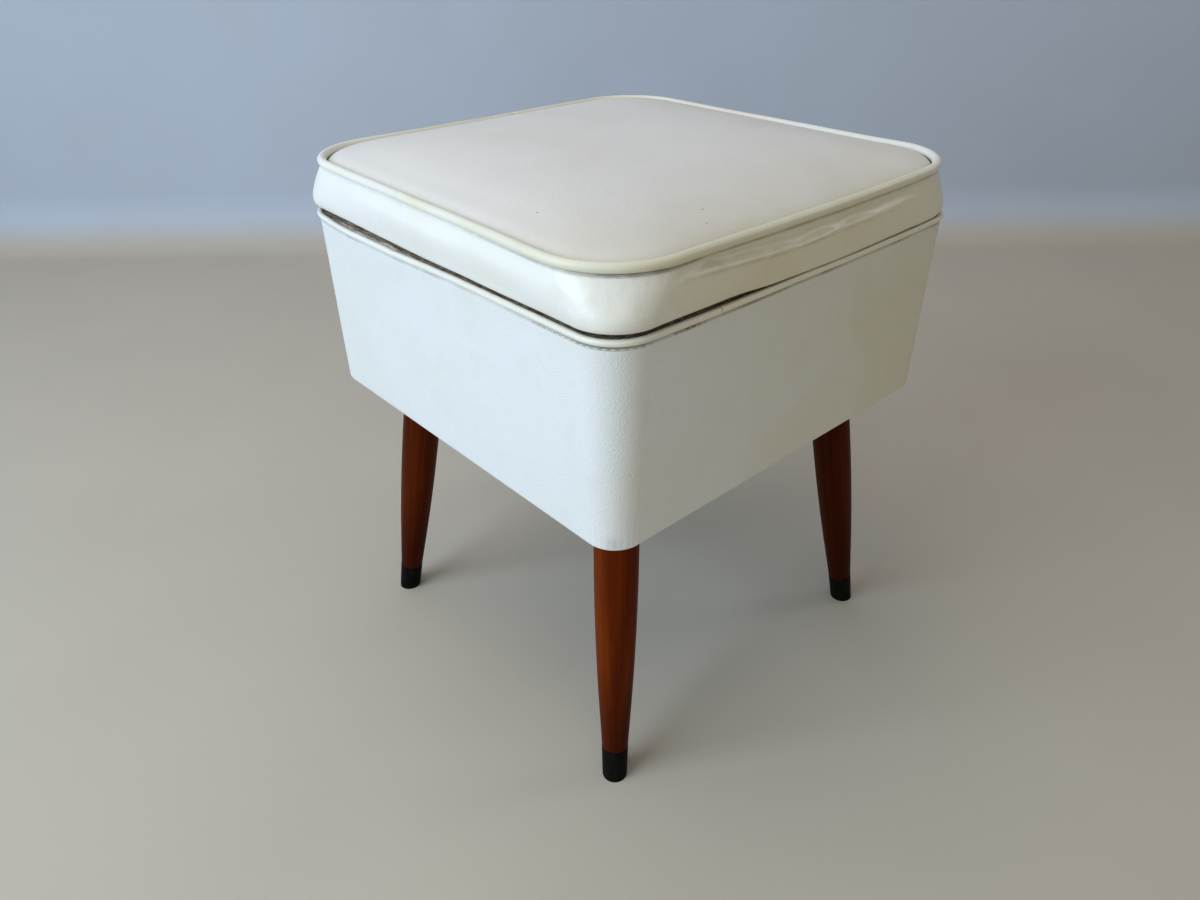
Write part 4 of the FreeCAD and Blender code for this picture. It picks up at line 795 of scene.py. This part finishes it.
def cushionMesh(steps, crown, walk):
    # Crowned top, sides tucked inside the band, flat bottom on the board; both middles closed by fans.
    shape = cushionShape
    top = crownGrid(steps, crown, walk)
    depth = np.linspace(0, 1, shape["sideRows"])
    sideHalf = np.interp(depth, shape["sideAt"], shape["sideIs"]) * mm
    sideCorner = np.interp(depth, shape["sideCornerAt"], shape["sideCornerIs"]) * mm
    tucked = shape["level"] - shape["tuck"]
    side, out = ringGrid(walk, sideHalf, sideCorner, tucked - depth * (tucked - shape["bottom"]),
                         stray["weltCorners"])
    floorHalf, floorCorner = np.array(shape["floorHalf"]), np.array(shape["floorCorner"])
    floor, out = ringGrid(walk, floorHalf, floorCorner, np.full(len(floorHalf), shape["bottom"]))
    rings = np.concatenate([floor[::-1], side[::-1], top[::-1]])
    rows, columns = rings.shape[:2]
    middles = [[0, 0, shape["bottom"]]], [[0, 0, top[0, :, 2].mean()]]
    points = np.concatenate([middles[0], rings.reshape(-1, 3), middles[1]])
    index = 1 + np.arange(rows * columns).reshape(rows, columns)
    faces = [quads(rows, columns, False, True, 1), fan(index[0], 0, True),
             fan(index[-1], rows * columns + 1, False)]
    return points, faces


def settle(points, faces):
    # The blank is remeshed, held below the seam and blown up by cloth pressure; the top's points come back.
    scene = bpy.context.scene
    blank = makePiece("cushionBlank", points, faces, vinyls["topVinyl"], "lid")
    remesh = blank.modifiers.new("even", "REMESH")
    remesh.mode, remesh.voxel_size = "VOXEL", blowUp["voxel"]
    view = bpy.context.evaluated_depsgraph_get()
    even = bpy.data.meshes.new_from_object(blank.evaluated_get(view))
    bag = bpy.data.objects.new("cushionBag", even)
    scene.collection.objects.link(bag)
    count = len(even.vertices)
    start = np.empty(count * 3)
    even.vertices.foreach_get("co", start)
    start = start.reshape(-1, 3)
    reach = np.max(np.abs(start[:, :2]), 1)
    half, corner = cushionShape["half"], cushionShape["corner"]
    rim = np.hypot(*np.maximum(np.abs(start[:, :2]) - (half - corner), 0).T)
    upper = start[:, 2] > cushionShape["level"] - 1 * mm
    free = upper & (reach < half - blowUp["margin"]) & (rim < corner - blowUp["margin"])
    held = bag.vertex_groups.new(name="held")
    held.add(np.flatnonzero(~free).tolist(), 1.0, "REPLACE")
    cloth = bag.modifiers.new("blowUp", "CLOTH")
    cloth.settings.vertex_group_mass = "held"
    cloth.settings.use_pressure = True
    cloth.settings.uniform_pressure_force = blowUp["pressure"]
    cloth.settings.effector_weights.gravity = 0
    cloth.settings.tension_stiffness = cloth.settings.compression_stiffness = blowUp["stiffness"]
    cloth.settings.bending_stiffness = blowUp["bending"]
    for number in range(1, blowUp["frames"] + 1):
        scene.frame_set(number)
    view = bpy.context.evaluated_depsgraph_get()
    blown = bag.evaluated_get(view).to_mesh()
    end = np.empty(count * 3)
    blown.vertices.foreach_get("co", end)
    move = end.reshape(-1, 3) - start
    size = np.linalg.norm(move, axis=1, keepdims=True)
    end = start + move * np.minimum(1, blowUp["cap"] / np.maximum(size, 1e-9))
    print("cushion blown up: most", round(float(size.max()) / mm, 2), "mm, middle",
          round(float(size[free].mean()) / mm, 2), "mm over", count, "points")
    for piece in (bag, blank):
        bpy.data.objects.remove(piece)
    scene.frame_set(1)
    return end[upper]


def heightRaster(points):
    # Mean height in each cell, spread to its neighbours by repeated 1-2-1 averaging.
    size = blowUp["cells"]
    cell = np.clip(np.floor(points[:, :2] / blowUp["cell"]).astype(int) + size // 2, 0, size - 1)
    total, weight = np.zeros((size, size)), np.zeros((size, size))
    np.add.at(total, (cell[:, 0], cell[:, 1]), points[:, 2])
    np.add.at(weight, (cell[:, 0], cell[:, 1]), 1)
    for number in range(5):
        for axis in (0, 1):
            total = (np.roll(total, 1, axis) + 2 * total + np.roll(total, -1, axis)) / 4
            weight = (np.roll(weight, 1, axis) + 2 * weight + np.roll(weight, -1, axis)) / 4
    return total / np.maximum(weight, 1e-9)


def readRaster(raster, points):
    # Straight-line blend of the four cells round each point.
    place = points[..., :2] / blowUp["cell"] + len(raster) // 2 - 0.5
    base = np.clip(np.floor(place).astype(int), 0, len(raster) - 2)
    part = place - base
    x, y = base[..., 0], base[..., 1]
    low = raster[x, y] * (1 - part[..., 0]) + raster[x + 1, y] * part[..., 0]
    high = raster[x, y + 1] * (1 - part[..., 0]) + raster[x + 1, y + 1] * part[..., 0]
    return low * (1 - part[..., 1]) + high * part[..., 1]


def makeLidCushion():
    # The fine top takes its heights from the blown-up blank, then dips into the seam beside the welt.
    shape = cushionShape
    steps = 1 - (1 - np.linspace(0.02, 1, shape["rings"])) ** 1.7
    walk = np.arange(0, 4, 4 / shape["columns"])
    points, faces = cushionMesh(steps, shape["crown"], walk)
    first = 1 + (shape["sideRows"] + len(shape["floorHalf"])) * len(walk)
    top = points[first:]
    away = np.append(np.repeat((1 - steps[::-1]) * shape["half"], len(walk)), shape["half"])
    coarse = 1 - (1 - np.linspace(0.06, 1, 26)) ** 1.3
    raster = heightRaster(settle(*cushionMesh(coarse, blowUp["startCrown"], walk)))
    share = unit((away - 3 * mm) / (14 * mm))
    change = ((readRaster(raster, top) - top[:, 2]) * share)[:-1].reshape(len(steps), -1)
    for number in range(30):
        change = (np.roll(change, 1, 1) + 2 * change + np.roll(change, -1, 1)) / 4
        change[1:-1] = (change[:-2] + 2 * change[1:-1] + change[2:]) / 4
    change[-1] = change[-1].mean()
    top[:, 2] += np.append(change.ravel(), change[-1, 0])
    top[:, 2] += shape["lump"] * softNoise(top * [1, 1, 0], 0.09, 41) * unit(away / (30 * mm))
    deeper = unit((np.min(np.abs(top[:, :2]), 1) - 100 * mm) / (30 * mm))
    top[:, 2] -= (shape["seamDip"] + shape["cornerDip"] * deeper) * np.exp(-away / shape["seamReach"])
    points[first:] = top
    shadeAndGrime, yellow = np.zeros((2, len(points)))
    # painted shade: darker in the seam crease beside the welt, more so towards the corners
    shadeAndGrime[first:] = shape["seamShade"] * np.exp(-away / (1.2 * mm)) * (0.4 + 0.6 * deeper)
    edgeYellow = np.append(np.tile(yellowing("top", walk), len(steps)), 0)
    yellow[first:] = np.exp(-away / shape["yellowReach"]) * edgeYellow
    piece = makePiece("lidCushion", points, faces, vinyls["topVinyl"], "lid",
                      {"shadeAndGrime": shadeAndGrime, "yellow": yellow})
    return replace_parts(piece, "lid_pad", "lid_top")


makeLidCushion()
print("lid cushion made")


# stitches and staples

stitchShape = {"pitch": 5 * mm, "length": 3.7 * mm, "radius": 0.36 * mm, "half": 177.95 * mm,
               "corner": 28 * mm, "level": 385.75 * mm, "sunk": 0.45 * mm, "proudAt": 0.88,
               "proudReach": 0.13}
stapleShape = {"width": 10 * mm, "wire": 0.55 * mm, "lidHalf": 167 * mm, "lidLevel": 395.35 * mm,
               "lidPitch": 33 * mm, "baseHalf": 165.5 * mm, "baseLevel": 244.45 * mm, "basePitch": 41 * mm,
               "corner": 20 * mm, "sides": 6,
               "bends": [(-0.5, 0, 0.9), (-0.5, 0, 0.15), (-0.46, 0, -0.12), (0.46, 0, -0.12),
                         (0.5, 0, 0.15), (0.5, 0, 0.9)]}


def beadShape(length, radius, rows=7, sides=8):
    # A spindle along X: radius times the root of a half sine.
    t = np.linspace(0.04, 0.96, rows)
    girth = radius * np.sqrt(np.sin(np.pi * t))
    angle = np.arange(sides) / sides * 2 * np.pi
    ring = np.stack([np.broadcast_to(((t - 0.5) * length)[:, None], (rows, sides)),
                     girth[:, None] * np.cos(angle), girth[:, None] * np.sin(angle)], -1)
    points = np.concatenate([ring.reshape(-1, 3), [[-length / 2, 0, 0], [length / 2, 0, 0]]])
    index = np.arange(rows * sides).reshape(rows, sides)
    body = quads(rows, sides, False, True)
    ends = np.concatenate([fan(index[0], rows * sides, True), fan(index[-1], rows * sides + 1, False)])
    return points, [body, ends]


def alongSquare(half, corner, level, pitch, keep=None):
    # Evenly spaced spots round a rounded square, with the direction along it and the outward one.
    walk = np.arange(0, 4, 1 / 2000)
    grid, out = ringGrid(walk, np.array([half]), np.array([corner]), np.array([level]))
    path, out = grid[0], out[0]
    travel = np.concatenate([[0], np.cumsum(np.linalg.norm(np.diff(path, axis=0), axis=1))])
    picked = np.searchsorted(travel, np.arange(pitch / 2, travel[-1], pitch))
    if keep:
        picked = picked[keep(path[picked])]
    along = np.stack([-out[picked, 1], out[picked, 0], np.zeros(len(picked))], -1)
    return path[picked], along, out[picked], walk[picked]


def makeRimStitches():
    # Spindles in a row just below the rim welt, sunk into the cover except at the front corner.
    shape = stitchShape
    spots, along, out, walk = alongSquare(shape["half"], shape["corner"], shape["level"], shape["pitch"])
    spots[:, 2] -= strayed("sag", walk)
    sunk = np.where(np.abs(walk - shape["proudAt"]) < shape["proudReach"], 0, shape["sunk"])
    spots += out * (strayed("rim", walk) - sunk)[:, None]
    points, faces = repeated(*beadShape(shape["length"], shape["radius"]), spots, along, out)
    return makePiece("rimStitches", points, faces, hards["seamThread"], "base")


def makeStaples(body, keep):
    # A flat wire crown with its two ends bent up into the board: an oval section carried along a bent line.
    shape = stapleShape
    line = np.array(shape["bends"]) * [shape["width"], 1, 1 * mm]
    sides = shape["sides"]
    angle = np.arange(sides) / sides * 2 * np.pi
    ahead = np.gradient(line, axis=0)
    ahead /= np.linalg.norm(ahead, axis=1, keepdims=True)
    aside = np.array([0, 1.0, 0])
    lift = np.cross(ahead, aside)
    ring = np.cos(angle)[None, :, None] * aside + np.sin(angle)[None, :, None] * lift[:, None]
    wire = (line[:, None] + ring * shape["wire"] / 2 * [1, 1.5, 0.8]).reshape(-1, 3)
    caps = np.stack([np.arange(sides)[::-1], np.arange(sides) + sides * (len(line) - 1)])
    half, level, pitch = (shape[body + part] for part in ("Half", "Level", "Pitch"))
    spots, along, out, walk = alongSquare(half, shape["corner"], level, pitch, keep)
    points, faces = repeated(wire, [quads(len(line), sides, False, True), caps], spots, along, out)
    return makePiece(body + "Staples", points, faces, hards["stapleWire"], body)


def awayFromHinges(p):  # not where the hinge leaves lie
    return ~((p[:, 1] > 150 * mm) & (np.abs(np.abs(p[:, 0]) - 95 * mm) < 30 * mm))


def awayFromPlates(p):  # not in the corners, where the leg plates lie
    return np.min(np.abs(p[:, :2]), 1) < 100 * mm


makeRimStitches()
makeStaples("lid", awayFromHinges)
makeStaples("base", awayFromPlates)
print("stitches and staples made")


# finishes on the CAD nodes

def dress(names, material):
    for name in names:
        nodes[name].data.materials.clear()
        nodes[name].data.materials.append(material)


legTurns = {"front_left": -135, "front_right": -45, "back_left": 135, "back_right": 45}
# painted shade: each leg's wood is darkened by its own factor for the light it gets; the back right leg, in
# the body's shadow, is darkest
legShade = {"front_left": 0.64, "front_right": 0.95, "back_left": 0.8, "back_right": 0.38}
legSplay = 10.4
for corner, turn in legTurns.items():
    upAxis = Matrix.Rotation(math.radians(legSplay), 3, "Y") @ Matrix.Rotation(math.radians(-turn), 3, "Z")
    straightened = tuple(upAxis.to_euler("XYZ"))
    darkened = {tone: tuple(legShade[corner] * c for c in legLook[tone]) for tone in ("dark", "light")}
    look = {**legLook, **darkened}
    dress(["leg_" + corner], makeWood("legWood_" + corner, look, straightened))
    dress(["tip_" + corner], hards["tipBlack"])
    dress(["leg_plate_" + corner], hards["plateEnamel"])
dress(["rim_tack_strip"], cards["tackCard"])
dress(["body_shell"], cards["fibreboard"])
dress(["floor_card"], cards["greyCard"])
dress(["bottom_board", "lid_board"], woods["plywood"])
dress(["cleat_front", "cleat_back"], woods["pineAcross"])
dress(["cleat_left", "cleat_right", "tray_runner_left", "tray_runner_right"], woods["pineDeep"])
dress(["wall_lining", "lid_lining"], cloths["liningCloth"])
dress(["dust_cover"], cloths["dustCloth"])
dress(["leg_plate_screws", "leg_bolts"], hards["zincSteel"])
dress(["hinge_leaf_body_left", "hinge_leaf_body_right", "hinge_leaf_lid_left", "hinge_leaf_lid_right",
       "hinge_pins", "hinge_screws_body", "hinge_screws_lid"], hards["hingeBrass"])
dress(["lid_buffers"], hards["bufferRubber"])
dress(["tray_front", "tray_back", "tray_floor"], woods["trayAcross"])
dress(["tray_left", "tray_right", "tray_divider_left", "tray_divider_right"], woods["trayDeep"])
dress(["spool_pegs"], woods["pegWood"])
print("CAD nodes dressed")


# stage, lights and camera

camera = {"azimuth": 48.3771, "elevation": 32.5991, "roll": -0.6847, "place": (0.4822, -0.4575, 0.5929),
          "lens": 25.85}
stage = {"floor": (0.53, 0.475, 0.405, 1), "wall": (0.50, 0.56, 0.68, 1), "far": 1.085, "near": -15.0,
         "width": 30.0, "cove": 0.1, "high": 4.0, "shade": (0.30, 0.28, 0.25, 1)}
lamps = {
    "windowKey": {"place": (-0.30, -1.75, 1.0), "size": 1.3, "power": 30.5, "colour": (0.65, 0.835, 1.0)},
    "roomFill": {"place": (1.5, -1.3, 0.8), "size": 1.4, "power": 4.8, "colour": (1.0, 0.95, 0.66)},
    "farWindow": {"place": (1.0, 1.9, 1.6), "size": 0.6, "power": 3.8, "colour": (0.92, 0.96, 1.0)},
    "ceilingGlow": {"place": (-0.35, -0.55, 2.5), "size": 2.0, "power": 17.2, "colour": (1.0, 0.92, 0.82)},
}
sky = {"colour": (0.80, 0.79, 0.74, 1), "strength": 0.30}

azimuth, elevation, roll = (math.radians(camera[key]) for key in ("azimuth", "elevation", "roll"))
back = Vector((math.sin(azimuth) * math.cos(elevation), -math.cos(azimuth) * math.cos(elevation),
               math.sin(elevation)))
right = Vector((math.cos(azimuth), math.sin(azimuth), 0))
up = back.cross(right)
turnedRight = math.cos(roll) * right + math.sin(roll) * up
turnedUp = math.cos(roll) * up - math.sin(roll) * right


def makeStage():
    # A floor that curves up into a wall behind the object, square to the camera's heading.
    ahead = Vector((-math.sin(azimuth), math.cos(azimuth), 0))
    turn = np.linspace(0, np.pi / 2, 16)
    far, cove = stage["far"], stage["cove"]
    run = np.concatenate([[stage["near"], -1.5], far - cove + cove * np.sin(turn), [far]])
    rise = np.concatenate([[0, 0], cove * (1 - np.cos(turn)), [stage["high"]]])
    across = np.linspace(-stage["width"] / 2, stage["width"] / 2, 3)
    grid = run[:, None, None] * np.array(ahead) + across[None, :, None] * np.array(right)
    grid = grid + rise[:, None, None] * np.array([0, 0, 1])
    material, tree, sockets, where = newMaterial("paleBackdrop", {"Specular IOR Level": 0.15})
    level = put(tree, "SeparateXYZ", {0: where}).outputs[2]
    plain = tint(tree, ramp(tree, level, 0.0, 0.06), stage["floor"], stage["wall"])
    faint = ramp(tree, noise(tree, where, 5, 3), 0.3, 0.7, 0.0, 0.06)
    tree.links.new(tint(tree, faint, plain, stage["shade"]), sockets["Base Color"])
    tree.links.new(ramp(tree, noise(tree, where, 9, 3), 0.3, 0.7, 0.7, 0.85), sockets["Roughness"])
    mesh = bpy.data.meshes.new("backdrop")
    mesh.from_pydata(grid.reshape(-1, 3).tolist(), [], quads(len(run), 3, False, False).tolist())
    mesh.polygons.foreach_set("use_smooth", np.ones(len(mesh.polygons), bool))
    mesh.materials.append(material)
    backdrop = bpy.data.objects.new("backdrop", mesh)
    bpy.context.scene.collection.objects.link(backdrop)


def makeLamp(name, lamp):
    light = bpy.data.lights.new(name, "AREA")
    light.energy, light.color, light.size = lamp["power"], lamp["colour"], lamp["size"]
    holder = bpy.data.objects.new(name, light)
    holder.location = lamp["place"]
    holder.visible_camera = False
    holder.rotation_euler = (Vector(lamp["place"]) - Vector((0, 0, 0.3))).to_track_quat("Z", "Y").to_euler()
    bpy.context.scene.collection.objects.link(holder)


def makeCamera():
    lens = bpy.data.cameras.new("photoCamera")
    lens.sensor_width, lens.lens, lens.clip_start = 36, camera["lens"], 0.01
    holder = bpy.data.objects.new("photoCamera", lens)
    holder.matrix_world = Matrix.LocRotScale(
        Vector(camera["place"]), Matrix((turnedRight, turnedUp, back)).transposed(), None)
    bpy.context.scene.collection.objects.link(holder)
    bpy.context.scene.camera = holder


makeStage()
for name, lamp in lamps.items():
    makeLamp(name, lamp)
world = bpy.data.worlds.new("softRoom")
world.use_nodes = True
world.node_tree.nodes["Background"].inputs[0].default_value = sky["colour"]
world.node_tree.nodes["Background"].inputs[1].default_value = sky["strength"]
bpy.context.scene.world = world
bpy.context.scene.view_settings.view_transform = "Standard"
makeCamera()
print("stage, lights and camera set")
